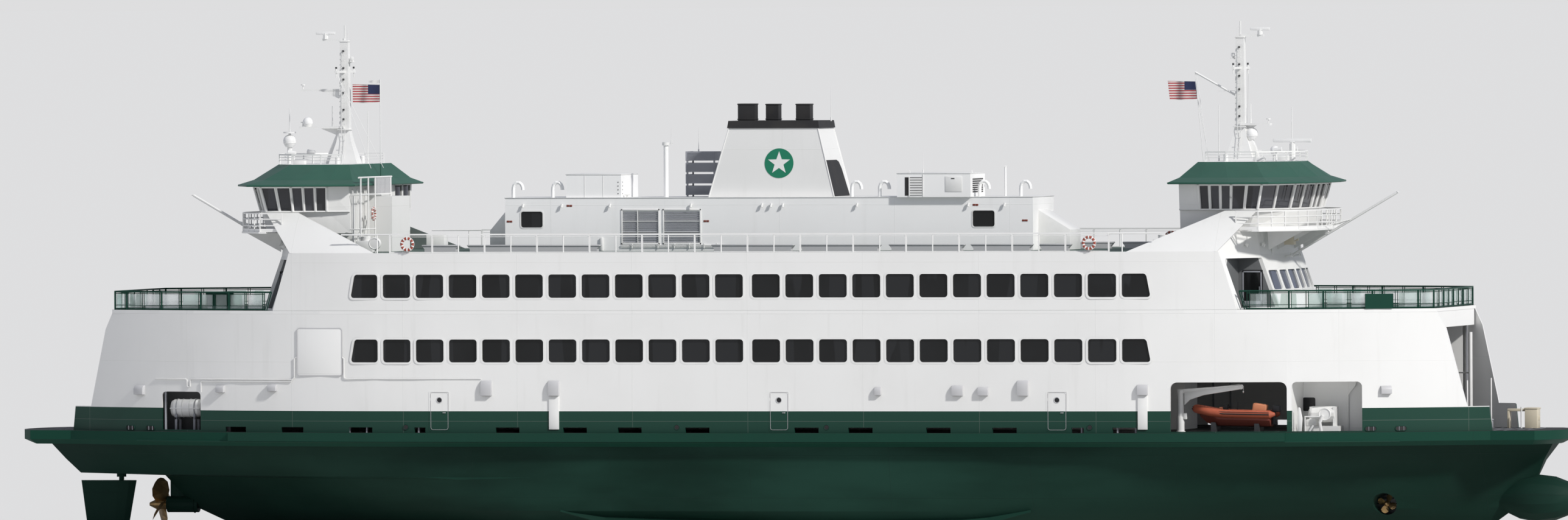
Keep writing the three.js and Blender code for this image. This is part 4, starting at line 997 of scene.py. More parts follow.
@dataclass
class Underwater:
    """The hull, its guard, screws, rudder and bilge keels."""

    ferry: Ferry
    shaft_height: float = 0.159
    propeller_place: float = -3.4413
    tunnel: tuple[float, float] = (3.255, 0.178)

    def screw_details(self) -> None:
        """Builds the propeller's nut and its studs, and the collars on the shaft's bearings."""
        z = self.shaft_height
        nut = Shape().at((self.propeller_place, 0, z))
        nut.rod((-0.03, 0, 0), (-0.037, 0, 0), 0.0195, 0.0175, 24)
        for k in range(8):
            a = math.tau * k / 8
            y, up = 0.0195 * math.cos(a), 0.0195 * math.sin(a)
            nut.rod((-0.029, y, up), (-0.0335, y, up), 0.0024, sides=6)
        nut.ball((-0.062, 0, 0), 0.0118, (0.7, 1, 1), 20)
        nut.piece("propeller_nut", "bronze", "propeller_body")
        collars = Shape().ring((-3.4035, 0, z), (1, 0, 0), 0.0405, 0.0036, 32, 6)
        collars.ring((-3.262, 0, z), (1, 0, 0), 0.0438, 0.003, 32, 6).piece("shaft_collars", "hull")

    def tunnel_mouths(self) -> None:
        """Builds the grid bars across both mouths of the thruster tunnel."""
        bars = Shape()
        for s in (-1, 1):
            bars.at((self.tunnel[0], s * 0.236, self.tunnel[1]))
            for z in (-0.028, 0, 0.028):
                half = math.sqrt(0.058**2 - z**2)
                bars.rod((-half, 0, z), (half, 0, z), 0.0028, sides=6)
        bars.piece("tunnel_bars", "hull")

    def guard_trim(self) -> None:
        """Builds the round bar along the guard's upper edge."""
        bar = Shape()
        for s in (-1, 1):
            bar.pipe([(x, s * (PLAN.breadth(x) + 0.025 * (1 + abs(x) / 4.17) - 0.001), 0.5125)
                      for x in (-3.4 + 0.2 * k for k in range(35))], 0.0045, 6)
        bar.piece("guard_bead", "dark_green")

    def deck_marks(self) -> None:
        """Builds the painted lane lines and the steel landing strips of the car deck."""
        lines, strips = Shape(), Shape()
        for lane, reach in ((0.3, 2.9), (0.52, 2.9), (0.735, 2.16)):
            for k in range(int(2 * reach / 0.32)):
                x = -reach + 0.32 * k
                for y in (-lane, lane):
                    lines.box((x, y - 0.003, 0.5602), (x + 0.2, y + 0.003, 0.5608))
        for k, half in enumerate((0.3, 0.3, 0.3, 0.3, 0.22, 0.22)):
            for x in (-3.72 - 0.055 * k, 3.72 + 0.055 * k):
                strips.box((x - 0.004, -half, 0.5602), (x + 0.004, half, 0.5616), 0.0006, segments=1)
        lines.piece("lane_lines", "marking")
        strips.piece("landing_strips", "grey")

    def build(self) -> None:
        """Builds and dresses everything low on the ship."""
        self.ferry.smoothed("hull", "hull")
        self.ferry.smoothed("dark_green", "fender_starboard", "fender_port")
        self.screw_details()
        self.tunnel_mouths()
        self.guard_trim()
        self.deck_marks()


@dataclass
class EndDecks:
    """The railed decks and open car deck mouths at both ends of the ship."""

    stations: tuple[float, ...] = (2.64, 2.85, 3.02, 3.26, 3.48, 3.555)
    locker: tuple[float, float] = (3.225, 3.356)

    def edge(self, e: float, s: float, x: float, z: float = 0, inset: float = 0.014) -> Vector:
        """A point over one side's rail line on one end deck."""
        return Vector((e * x, s * (PLAN.breadth(x) - inset), z))

    def rails(self) -> None:
        """Builds the rails' double posts, bars, panels and lockers, on to the cabin's sides."""
        for end in End:
            e = end.value
            bars, panels = Shape(), Shape()
            lines = [[self.edge(e, s, x) for x in self.stations] for s in (-1, 1)]
            half = lines[1][-1].y
            lines.append([Vector((e * self.stations[-1], y, 0)) for y in (-half, 0, half)])
            for line in lines:
                for z, radius in ((1.203, 0.0035), (1.222, 0.0016), (1.284, 0.0022)):
                    bars.at((0, 0, z)).pipe(line, radius, 6)
                bars.at()
                for a, b in zip(line, line[1:]):
                    self.span(e, a, b, bars, panels)
            for s in (-1, 1):
                hand = [self.edge(e, s, x, 1.294) for x in (2.6, 2.73, 2.862)]
                bars.pipe(hand, 0.0045, 8)
                foot = self.edge(e, s, 2.628, 1.1985)
                bars.rod(foot, hand[0], 0.003, sides=8)
                bars.at((e * 0.01, 0, 0)).rod(foot, hand[0], 0.0022, sides=8).at()
            ends = [self.edge(e, -e, x, 0, 0.03) for x in self.locker]
            for shift in (0.0, -e * 0.012, -e * 0.024):
                low, high = Vector((0, shift, 1.1985)), Vector((0, shift, 1.276))
                bars.plate([ends[0] + low, ends[1] + low, ends[1] + high, ends[0] + high], 0.0115)
            bars.piece(f"end_rail_bars_{end.label}", "dark_green")
            panels.piece(f"end_rail_panels_{end.label}", "green_glass")

    def span(self, e: float, a: Vector, b: Vector, bars: Shape, panels: Shape) -> None:
        """Adds the posts, and the panels where no locker stands, between two corners of a rail's line."""
        along = (b - a).normalized()
        inward = Vector((along.y, -along.x, 0))
        if inward.dot(a + b - Vector((e * 6.4, 0, 0))) > 0:
            inward = -inward
        count = max(1, round((b - a).length / 0.115))
        low, high = inward * 0.005 + WORLD_UP * 1.207, inward * 0.005 + WORLD_UP * 1.28
        for k in range(count):
            for t in (k / count, k / count + 0.012 / (b - a).length):
                p = a.lerp(b, t)
                bars.rod(p + WORLD_UP * 1.1985, p + WORLD_UP * 1.296, 0.0022, sides=6)
            middle = a.lerp(b, (k + 0.5) / count)
            if not (self.locker[0] < abs(middle.x) < self.locker[1] and e * middle.y < -0.5):
                p, q = a.lerp(b, (k + 0.16) / count), a.lerp(b, (k + 0.95) / count)
                panels.plate([p + low, q + low, q + high, p + high], 0.0012)

    def mouths(self) -> None:
        """Builds the frames on the shell's inner faces in steel grey as painted shade under the deck, the
        posts and the hand bars inside the mouths.
        """
        frames, posts = Shape(), Shape()
        for x in [3.24 + 0.056 * k for k in range(6)] + [1.78 + 0.095 * k for k in range(5)]:
            for s in (-1, 1):
                frames.at((x, s * (PLAN.breadth(x) - 0.014), 0), 1, s)
                frames.box((-0.0035, -0.016, 0.5603), (0.0035, 0, 1.097))
        for s in (-1, 1):
            posts.at((0, 0, 0), 1, s).rod((3.56, 0.4, 0.5602), (3.56, 0.4, 1.058), 0.0105, sides=16)
            posts.rod((3.69, 0.3, 0.5602), (3.69, 0.3, 0.82), 0.0045, sides=16)
            inner = PLAN.breadth(3.27) - 0.036
            posts.rod((3.27, inner, 0.845), (3.555, 0.412, 0.845), 0.004, sides=8)
        posts.at().rod((3.885, 0.14, 0.5602), (3.885, 0.14, 0.672), 0.004, sides=16)
        # painted shade: steel grey frames, darker than the white shell, for the shade under the deck
        frames.both_ends().piece("mouth_frames", "grey")
        posts.both_ends().piece("mouth_posts", "trim")

    def lockers(self) -> None:
        """Builds the locker and its bench at the bow, and the mooring posts of both ends."""
        locker = Shape()
        locker.box((3.9, 0.15, 0.5602), (3.966, 0.235, 0.664), 0.003)
        locker.box((3.897, 0.147, 0.66), (3.969, 0.238, 0.668), 0.002)
        locker.box((3.8, 0.185, 0.648), (3.902, 0.235, 0.662), 0.002)
        locker.box((3.8, 0.185, 0.5602), (3.812, 0.235, 0.65), 0.002)
        for y in (0.176, 0.206):
            locker.box((3.964, y, 0.6), (3.9685, y + 0.006, 0.625), 0.001)
        locker.piece("deck_lockers", "cream")
        posts = Shape()
        for x, y in ((3.6, 0.37), (3.6, -0.37), (3.68, 0.35), (3.68, -0.35)):
            posts.at((x, y, 0)).rod((0, 0, 0.5602), (0, 0, 0.6), 0.011, sides=16)
            posts.ball((0, 0, 0.6), 0.0145, (1, 1, 0.5))
        posts.both_ends().piece("bollards", "grey")

    def build(self) -> None:
        """Builds and dresses both ends."""
        self.rails()
        self.mouths()
        self.lockers()


@dataclass
class CabinFronts:
    """The bowed fronts of the cabin: slanted windows, doors in their alcoves, small fittings."""

    foot: float = 2.78
    top: float = 2.68
    floor: float = 1.1983
    knee: float = 1.48
    pitch: float = 0.164
    half_window: float = 0.068
    sill: float = 1.295
    head: float = 1.397
    setback: Pairs = ((0.0, 0.0), (0.3, 0.015), (0.5, 0.042), (0.885, 0.2))

    def face(self, y: float, z: float) -> float:
        """Distance from the ship's middle to the front's outer face."""
        for (y0, b0), (y1, b1) in zip(self.setback, self.setback[1:]):
            if abs(y) <= y1:
                back = b0 + (b1 - b0) * (abs(y) - y0) / (y1 - y0)
                break
        else:
            back = self.setback[-1][1]
        lean = self.foot + (self.top - self.foot) * (z - self.floor) / (self.knee - self.floor)
        if z > self.knee:
            lean = self.top - 0.02 * (z - self.knee) / 0.12
        return lean - back

    def on_front(self, outline: Iterable[tuple[float, float]], e: float, out: float) -> list[Vector]:
        """Lifts a (y, z) outline onto the front, standing out from it."""
        return [Vector((e * (self.face(y, z) + out), y, z)) for y, z in outline]

    def windows(self, end: End) -> None:
        """Builds the six panes and their rims."""
        name = end.label
        panes, rims = Shape(), Shape()
        for k in range(-3, 3):
            middle = (k + 0.5) * self.pitch
            y0, y1 = middle - self.half_window, middle + self.half_window
            pane = rounded(y0 - 0.001, y1 + 0.001, self.sill - 0.001, self.head + 0.001, 0.012, 3)
            panes.plate(self.on_front(pane, end.value, -0.01), 0.003)
            inner = rounded(y0 + 0.001, y1 - 0.001, self.sill + 0.001, self.head - 0.001, 0.012, 3)
            outer = rounded(y0 - 0.006, y1 + 0.006, self.sill - 0.006, self.head + 0.006, 0.018, 3)
            rims.bridged([self.on_front(line, end.value, out) for line, out in (
                (inner, -0.009), (inner, 0.002), (outer, 0.0016), (outer, -0.001))])
        panes.piece(f"front_glass_{name}", "blue_glass")
        rims.piece(f"front_rims_{name}", "trim")

    def doors(self, end: End) -> None:
        """Builds the frame and handle of each alcove's door."""
        for side in Side:
            node = f"cabin_door_{end.label}_{side.label}"
            low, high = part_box(node)
            x0, x1 = low.x, high.x
            leaf = Shape().at((0, side.value * 0.5, 0), 1, side.value)
            for a, b, c, d in ((x0, x0 + 0.008, low.z, high.z), (x1 - 0.008, x1, low.z, high.z),
                               (x0, x1, high.z - 0.008, high.z), (x0, x1, low.z, low.z + 0.026)):
                leaf.box((a, -0.001, c), (b, 0.0022, d), 0.0008)
            latch = x1 - 0.013 if end is End.FORE else x0 + 0.013
            leaf.rod((latch, 0, 1.292), (latch, 0.006, 1.292), 0.0022, sides=8)
            leaf.rod((latch, 0.0055, 1.272), (latch, 0.0055, 1.312), 0.0016, sides=8)
            leaf.piece(f"{node}_frame", "grey", f"{node}_body")

    def fittings(self, end: End) -> None:
        """Builds the floodlights, bent pipes and horns under the balcony, and the fore end's camera box."""
        e = end.value
        lamps, gear = Shape(), Shape()
        for s in (-1, 1):
            for y, z in ((0.62, 1.535), (0.47, 1.535)):
                place = (e * self.face(y, z), s * y, z)
                gear.at(place, e, s).rod((0, 0, 0), (0.014, 0, -0.004), 0.003, sides=8)
                gear.rod((0.008, 0, -0.002), (0.022, 0, -0.008), 0.0095, 0.0115, 14)
                lamps.at(place, e, s).rod((0.0215, 0, -0.0078), (0.0235, 0, -0.0086), 0.0098, sides=14)
            gear.at((e * self.face(0.33, 1.5), s * 0.33, 0), e, s)
            gear.pipe([(0.004, 0, 1.455), (0.006, 0, 1.52), (0.012, 0, 1.545), (0.03, 0, 1.552)], 0.0045, 8)
            gear.ball((0.038, -0.005, 1.552), 0.012, (1.2, 0.9, 0.9), 12)
            gear.at((e * self.face(0.16, 1.46), s * 0.1, 0), e, s)
            gear.rod((0, 0, 1.462), (0.036, 0, 1.47), 0.003, sides=8)
            gear.ring((0.036, 0, 1.47), (1, 0, 0.3), 0.011, 0.0028, 16, 6)
        if end is End.FORE:
            box = Shape().box((2.7, -0.215, 1.525), (2.752, -0.155, 1.592), 0.003)
            box.box((2.752, -0.195, 1.545), (2.772, -0.175, 1.575), 0.002).piece("camera_box_fore", "cream")
        gear.piece(f"front_fittings_{end.label}", "trim")
        lamps.piece(f"front_lamps_{end.label}", "lamp")

    def build(self) -> None:
        """Builds and dresses both fronts."""
        for end in End:
            self.windows(end)
            self.doors(end)
            self.fittings(end)


@dataclass
class SunDeck:
    """The house on the sun deck with its machinery, the funnel, the rails and the deck's furniture."""

    half: float = 0.24
    house: tuple[float, float] = (-1.49, 1.363)
    windows: Pairs = ((-1.345, 0.12), (1.098, 0.12))
    window_height: tuple[float, float] = (1.622, 1.708)
    louvres: Pairs = ((-0.755, 0.195), (-0.53, 0.195))
    louvre_height: tuple[float, float] = (1.54, 1.712)
    lamps: tuple[float, ...] = (-1.389, -1.178, -0.917, -0.477, -0.093, -0.044, 0.02, 0.42, 1.02, 1.214)
    signs: Pairs = ((-1.466, 1.655), (-1.14, 1.737), (-0.398, 1.655), (1.055, 1.737), (1.32, 1.655))
    rail_reach: float = 1.93
    benches: Pairs = ((-1.895, -1.702), (-1.649, -0.935), (-0.325, 0.114), (0.15, 0.58), (0.632, 1.032),
                      (1.072, 1.396), (1.436, 1.603))
    emblem: tuple[float, float] = (-0.0166, 1.957)
    stacks: tuple[tuple[float, float, float, float], ...] = (  # x, y, half length and top
        (-0.215, -0.06, 0.046, 2.27), (-0.093, 0.01, 0.034, 2.268), (0.084, -0.03, 0.038, 2.268))

    def house_windows(self) -> None:
        """Builds the house's windows with rims on both long sides."""
        panes, rims = Shape(), Shape()
        z0, z1 = self.window_height
        for x, width in self.windows:
            half = width / 2

            def loop(grow: float, radius: float, y: float) -> list[Point]:
                """Outline round the window, grown by a distance."""
                outline = rounded(x - half - grow, x + half + grow, z0 - grow, z1 + grow, radius, 3)
                return [(px, y, pz) for px, pz in outline]

            for s in (-1, 1):
                y = s * self.half
                panes.plate(loop(0.001, 0.012, y - s * 0.008), 0.003)
                rims.bridged([loop(grow, radius, y + s * out) for grow, radius, out in (
                    (-0.001, 0.012, -0.007), (-0.001, 0.012, 0.002), (0.005, 0.016, 0.0016),
                    (0.005, 0.016, -0.001))])
        panes.piece("house_glass", "glass")
        rims.piece("house_rims", "trim")

    def louvre_slats(self) -> None:
        """Builds the slats, frames and mullion of the house's air intakes."""
        slats, frames = Shape(), Shape()
        z0, z1 = self.louvre_height
        tilt = Matrix.Rotation(math.radians(38), 3, "X")
        for x, width in self.louvres:
            a, b = x - width / 2, x + width / 2
            slats.at((0, -self.half, 0))
            frames.at((0, -self.half, 0))
            for k in range(15):
                z = z0 + 0.009 + k * (z1 - z0 - 0.012) / 15
                slats.box((a + 0.001, 0.0005, z), (b - 0.001, 0.0085, z + 0.0012), turn=tilt)
            slats.box((a, 0.009, z0), (b, 0.0115, z1))
            for left, right, low, high in (
                    (a - 0.007, a + 0.001, z0 - 0.007, z1 + 0.007),
                    (b - 0.001, b + 0.007, z0 - 0.007, z1 + 0.007),
                    (a - 0.007, b + 0.007, z1 - 0.001, z1 + 0.007),
                    (a - 0.007, b + 0.007, z0 - 0.007, z0 + 0.001)):
                frames.box((left, -0.004, low), (right, 0.002, high), 0.001)
            for share in (0.34, 0.67):
                z = z0 + (z1 - z0) * share
                frames.box((a, -0.001, z - 0.0015), (b, 0.003, z + 0.0015))
        x = self.louvres[0][0] - 0.015
        frames.box((x - 0.002, -0.0035, z0), (x + 0.002, 0.002, z1), 0.0006)
        slats.piece("louvre_slats", "grey")
        frames.piece("louvre_frames", "trim")

    def wall_fittings(self) -> None:
        """Builds the lamps, sign boards, pipes and valves on the house, and the sloped stair covers."""
        gear, signs = Shape(), Shape()
        top = PLAN.house_top
        for s in (-1, 1):
            gear.at((0, s * self.half, 0), 1, s)
            for x in self.lamps:
                gear.rod((x, 0, 1.742), (x, 0.01, 1.742), 0.0035, sides=8)
                gear.rod((x, 0.01, 1.747), (x - 0.002, 0.014, 1.728), 0.0052, 0.0065, 10)
            for z, radius in ((1.528, 0.0028), (1.519, 0.002)):
                gear.pipe([(-0.86, 0.006, z), (-0.3, 0.006, z)], radius, 6)
            for x in (-0.8, -0.66, -0.57, -0.49, -0.41, -0.34):
                gear.rod((x, 0.006, 1.512), (x, 0.006, 1.537), 0.0032, sides=6)
                gear.ring((x, 0.012, 1.532), (0, 1, 0), 0.005, 0.0011, 10, 5)
            gear.box((-0.97, 0, 1.5), (-0.958, 0.012, 1.57), 0.001)
            for x, z in self.signs:
                for half_board in (-0.0078, 0.0078):
                    signs.at((x + half_board, s * self.half, z), 1, s)
                    signs.box((-0.007, -0.0005, -0.005), (0.007, 0.0018, 0.005), 0.0005)
        for x, e, reach, head in zip(self.house, (-1, 1), (0.115, 0.172), (1.743, 1.711)):
            slope = ((-0.002, 1.4995), (reach, 1.4995), (reach, 1.606), (-0.002, head))
            gear.at((x, 0, 0), e).plate([(px, 0.12, z) for px, z in slope], 0.24, 0.002)
            gear.box((-e * 0.001, 0.14, 1.52), (0.004, 0.22, 1.7), 0.001)
        gear.at().box((self.house[0] - 0.004, -self.half - 0.004, top - 0.0005),
                      (self.house[1] + 0.004, self.half + 0.004, top + 0.0026), 0.0012)
        gear.piece("house_fittings", "trim")
        signs.piece("house_signs", "wine", slot="bunting")

    def furniture(self) -> None:
        """Builds the low benches that stand along the deck house."""
        seats = Shape()
        for x0, x1 in self.benches:
            a, b = x0 + 0.012, x1 - 0.012
            front = ((a, 1.4992), (b, 1.4992), (b, 1.512), (x1, 1.5275), (x0, 1.5275), (a, 1.512))
            seats.plate([(x, -0.371, z) for x, z in front], 0.044)
            seats.box((x0 - 0.002, -0.419, 1.5275), (x1 + 0.002, -0.368, 1.5345), 0.0015)
        seats.end_for_end().piece("deck_benches", "vent", slot="steel_grey")

    def rails(self) -> None:
        """Builds the lower bars and further posts of the sun deck's rails, and their ends on the wings."""
        bars = Shape()
        reach = self.rail_reach
        places = [-1.7 + 3.4 / 12 * (k + 0.5) for k in range(12)] + [-2.0, 2.0]
        for s in (-1, 1):
            def line(z: float, *xs: float) -> list[Vector]:
                """Points of this side's rail at one height."""
                return [Vector((x, s * (PLAN.breadth(x) - 0.01), z)) for x in xs]

            for z, radius in ((1.584, 0.0017), (1.503, 0.0032)):
                bars.pipe(line(z, -reach, -1.7, 1.7, reach), radius, 6)
            for x in places:
                bars.rod(*line(1.4995, x), *line(1.594, x), 0.0034, sides=8)
            for e in (-1, 1):
                bars.pipe(line(1.5955, e * (reach - 0.01), e * 2.06, e * 2.2), 0.0042, 8)
        bars.piece("sun_rail_bars", "trim")

    def air_unit(self, casing: Shape, dark: Shape) -> None:
        """Adds the air unit's seams, lid, vents as black dots of painted shade, and pipe."""
        low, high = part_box("air_unit")
        wide, deep, tall = high - low
        casing.at(low)
        dark.at(low)
        for x in (0.1, 0.2):
            casing.box((x - 0.0015, -0.0012, 0.004), (x + 0.0015, 0, tall - 0.002))
        casing.box((-0.003, -0.003, tall - 0.001), (wide + 0.003, deep + 0.003, tall + 0.004), 0.0015)
        for z in (0.022, 0.042, 0.062, 0.082):
            # painted shade: black dots for the vent holes
            dark.rod((wide - 0.016, -0.0012, z), (wide - 0.016, 0.001, z), 0.0028, sides=12)
            dark.rod((wide - 0.001, 0.03, z), (wide + 0.0012, 0.03, z), 0.0028, sides=12)
        casing.at((high.x, low.y, PLAN.house_top))
        casing.rod((0.02, 0.05, -0.002), (0.02, 0.05, 0.016), 0.004, sides=8)
        casing.box((0.008, 0.042, 0.012), (0.034, 0.058, 0.02), 0.002)

    def machinery_box(self, casing: Shape, dark: Shape) -> None:
        """Adds the machinery box's lid, door, panels, grilles and lifting eyes; the grilles' openings and
        the louvre's backing are black painted shade.
        """
        low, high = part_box("machinery_box")
        wide, deep, tall = high - low
        casing.at(low)
        dark.at(low)
        casing.box((-0.003, -0.003, tall - 0.001), (wide + 0.003, deep + 0.003, tall + 0.003), 0.0012)
        casing.box((0.26, -0.0025, 0.028), (0.35, 0, 0.108), 0.001)
        casing.box((0.139, -0.0025, 0.004), (0.142, 0, tall - 0.004))
        casing.box((0.064, -0.0045, 0.006), (0.07, 0, 0.106))
        # painted shade: a black panel behind the louvre's slats
        dark.box((0.043, -0.0012, 0.008), (0.135, 0, 0.104))
        dark.box((0.292, -0.0035, 0.094), (0.31, -0.0025, 0.099))
        for k in range(7):
            casing.box((0.068, -0.0035, 0.01 + 0.0134 * k), (0.135, 0, 0.02 + 0.0134 * k))
            z = 0.024 + 0.011 * k
            # painted shade: black slots for the grille's openings
            dark.box((wide - 0.0005, 0.05, z), (wide + 0.0022, deep - 0.05, z + 0.006))
        for x in (0.03, wide - 0.03):
            casing.ring((x, deep / 2, tall + 0.008), (1, 0, 0), 0.007, 0.0018, 14, 6)

    def cooler_coils(self) -> None:
        """Builds the cooler's four banks of coils and the edge of each bank's tray."""
        low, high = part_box("cooler")
        wide, deep, _ = high - low
        coils = Shape()
        for k in range(4):
            coils.at((low.x, low.y, 1.79 + 0.06 * k))
            for j in range(6):
                coils.box((-0.002, -0.003, 0.004 + 0.0072 * j), (wide + 0.002, 0.001, 0.0072 + 0.0072 * j))
            coils.box((-0.004, -0.0045, -0.001), (0.004, deep + 0.004, 0.049), 0.001)
        coils.piece("cooler_coils", "grey")

    def machinery(self) -> None:
        """Builds the seams, hatches, grilles and lifting eyes of the machinery on the roof, with black
        painted shade in the holes and openings.
        """
        casing, dark = Shape(), Shape()
        self.air_unit(casing, dark)
        self.machinery_box(casing, dark)
        casing.at((-0.645, -0.12, 0)).rod((0, 0, 2.052), (0, 0, 2.068), 0.02, sides=20)
        casing.rod((0, 0, 2.068), (0, 0, 2.0705), 0.0205, 0.012, sides=20)
        casing.at().rod((1.16, -0.03, 1.935), (1.16, 0.03, 1.935), 0.0045, sides=8)
        casing.piece("machinery_trim", "trim")
        dark.piece("machinery_hole_shade", "soot_and_shade")
        self.cooler_coils()

    def funnel_face(self, z: float) -> tuple[float, float, float]:
        """The funnel at one height: its aft and fore places and half breadth."""
        t = (z - 1.7783) / (2.141 - 1.7783)
        return -0.396 + 0.105 * t, 0.283 - 0.092 * t, 0.195 - 0.023 * t

    def funnel(self) -> None:
        """Builds the funnel's corner trim, emblem and intake, and the bands round its exhausts."""
        trim, star, disc = Shape(), Shape(), Shape()
        x, z = self.emblem
        lean = math.atan2(0.023, 0.3627)
        for s in (-1, 1):
            for edge in (0, 1):
                faces = [(self.funnel_face(height), height) for height in (1.781, 2.139)]
                trim.rod(*((face[edge], s * face[2], height) for face, height in faces), 0.0035, sides=8)
            middle = Vector((x, s * (self.funnel_face(z)[2] + 0.0002), z))
            out = Vector((0, s * math.cos(lean), math.sin(lean)))
            up = Vector((0, -s * math.sin(lean), math.cos(lean)))
            disc.rod(middle - out * 0.002, middle + out * 0.0012, 0.078, sides=56)
            points = []
            for k in range(10):
                reach = 0.025 if k % 2 else 0.062
                a = math.tau * k / 10
                ray = Vector((math.sin(a), 0, 0)) + up * math.cos(a)
                points.append(middle + out * 0.001 + ray * reach)
            star.plate(points if s > 0 else points[::-1], 0.0012)
        trim.piece("funnel_trim", "trim")
        disc.piece("funnel_disc", "green")
        star.piece("funnel_star", "trim", smooth=5)
        opening = ((-0.186, 1.783), (0.15, 1.783), (0.118, 1.925), (0.09, 1.962), (0.05, 1.972),
                   (-0.174, 1.972))
        dark = Shape().plate([(self.funnel_face(z)[1] + 0.0006, y, z) for y, z in opening], 0.0016)
        dark.piece("funnel_intake", "soot_and_shade", slot="stack_black")
        bands = Shape()
        for x, y, half, top in self.stacks:
            for z in (2.185, top - 0.006):
                bands.at((x, y, z)).box((-half - 0.003, -0.037, 0), (half + 0.003, 0.037, 0.005), 0.0012)
        bands.piece("stack_bands", "soot_and_shade", slot="stack_black")

    def aerials(self) -> None:
        """Builds the thin aerials on the roof of the house."""
        aerials = Shape()
        for x, y, foot, top in ((-0.615, -0.12, 2.06, 2.15), (-0.52, 0.085, 2.012, 2.145),
                                (0.225, -0.02, 2.178, 2.36), (0.735, -0.08, 1.902, 2.01)):
            aerials.at((x, y, foot)).rod((0, 0, -0.002), (0, 0, 0.018), 0.0035, sides=8)
            aerials.rod((0, 0, 0.018), (0, 0, top - foot), 0.0016, 0.0008, 6)
        aerials.at().rod((-0.632, -0.12, 2.065), (-0.608, -0.12, 2.065), 0.0025, sides=6)
        aerials.piece("roof_aerials", "trim")

    def build(self) -> None:
        """Builds and dresses everything on the sun deck between the pilothouses."""
        self.house_windows()
        self.louvre_slats()
        self.wall_fittings()
        self.furniture()
        self.rails()
        self.machinery()
        self.funnel()
        self.aerials()


@dataclass
class LifeRings:
    """Life rings with white bands, hung on rails and walls."""

    radius: float = 0.03
    wire: float = 0.0078
    bands: int = 10
    places: tuple[tuple[float, float, float, int, int], ...] = (
        # x, y, z, then the X and Y of the way that it faces
        (-1.831, -0.956, 1.546, 0, -1), (1.8285, -0.956, 1.546, 0, -1), (-2.162, -0.405, 1.7, 1, 0))

    def build(self) -> None:
        """Builds the rings, their bands and their grab lines, and a white coil of hose by the aft ones."""
        rings, bands = Shape(), Shape()
        for x, y, z, fx, fy in self.places:
            facing, across = Vector((fx, fy, 0)), Vector((-fy, fx, 0))
            rings.at((x, y, z)).ring((0, 0, 0), facing, self.radius, self.wire, 30, 10, 0.7)
            bands.at((x, y, z)).ring(facing * 0.001, facing, self.radius + self.wire, 0.001, 30, 5)
            for k in range(self.bands):
                a = math.tau * (k + 0.5) / self.bands
                centre = (across * math.cos(a) + WORLD_UP * math.sin(a)) * self.radius
                along = (WORLD_UP * math.cos(a) - across * math.sin(a)) * 0.0032
                bands.rod(centre - along, centre + along, self.wire * 1.05, sides=12)
        bands.at((-2.051, 0, 1.548))
        for y in (-0.8, -0.791, -0.782):
            bands.ring((0, y, 0), (0, -1, 0), 0.028, 0.0045, 28, 6)
        bands.rod((0, -0.78, -0.0488), (0, -0.78, 0), 0.004, sides=8)
        bands.rod((0, -0.802, 0), (0, -0.776, 0), 0.024, sides=20)
        rings.end_for_end().piece("life_rings", "ring_red")
        bands.end_for_end().piece("life_ring_bands", "trim")


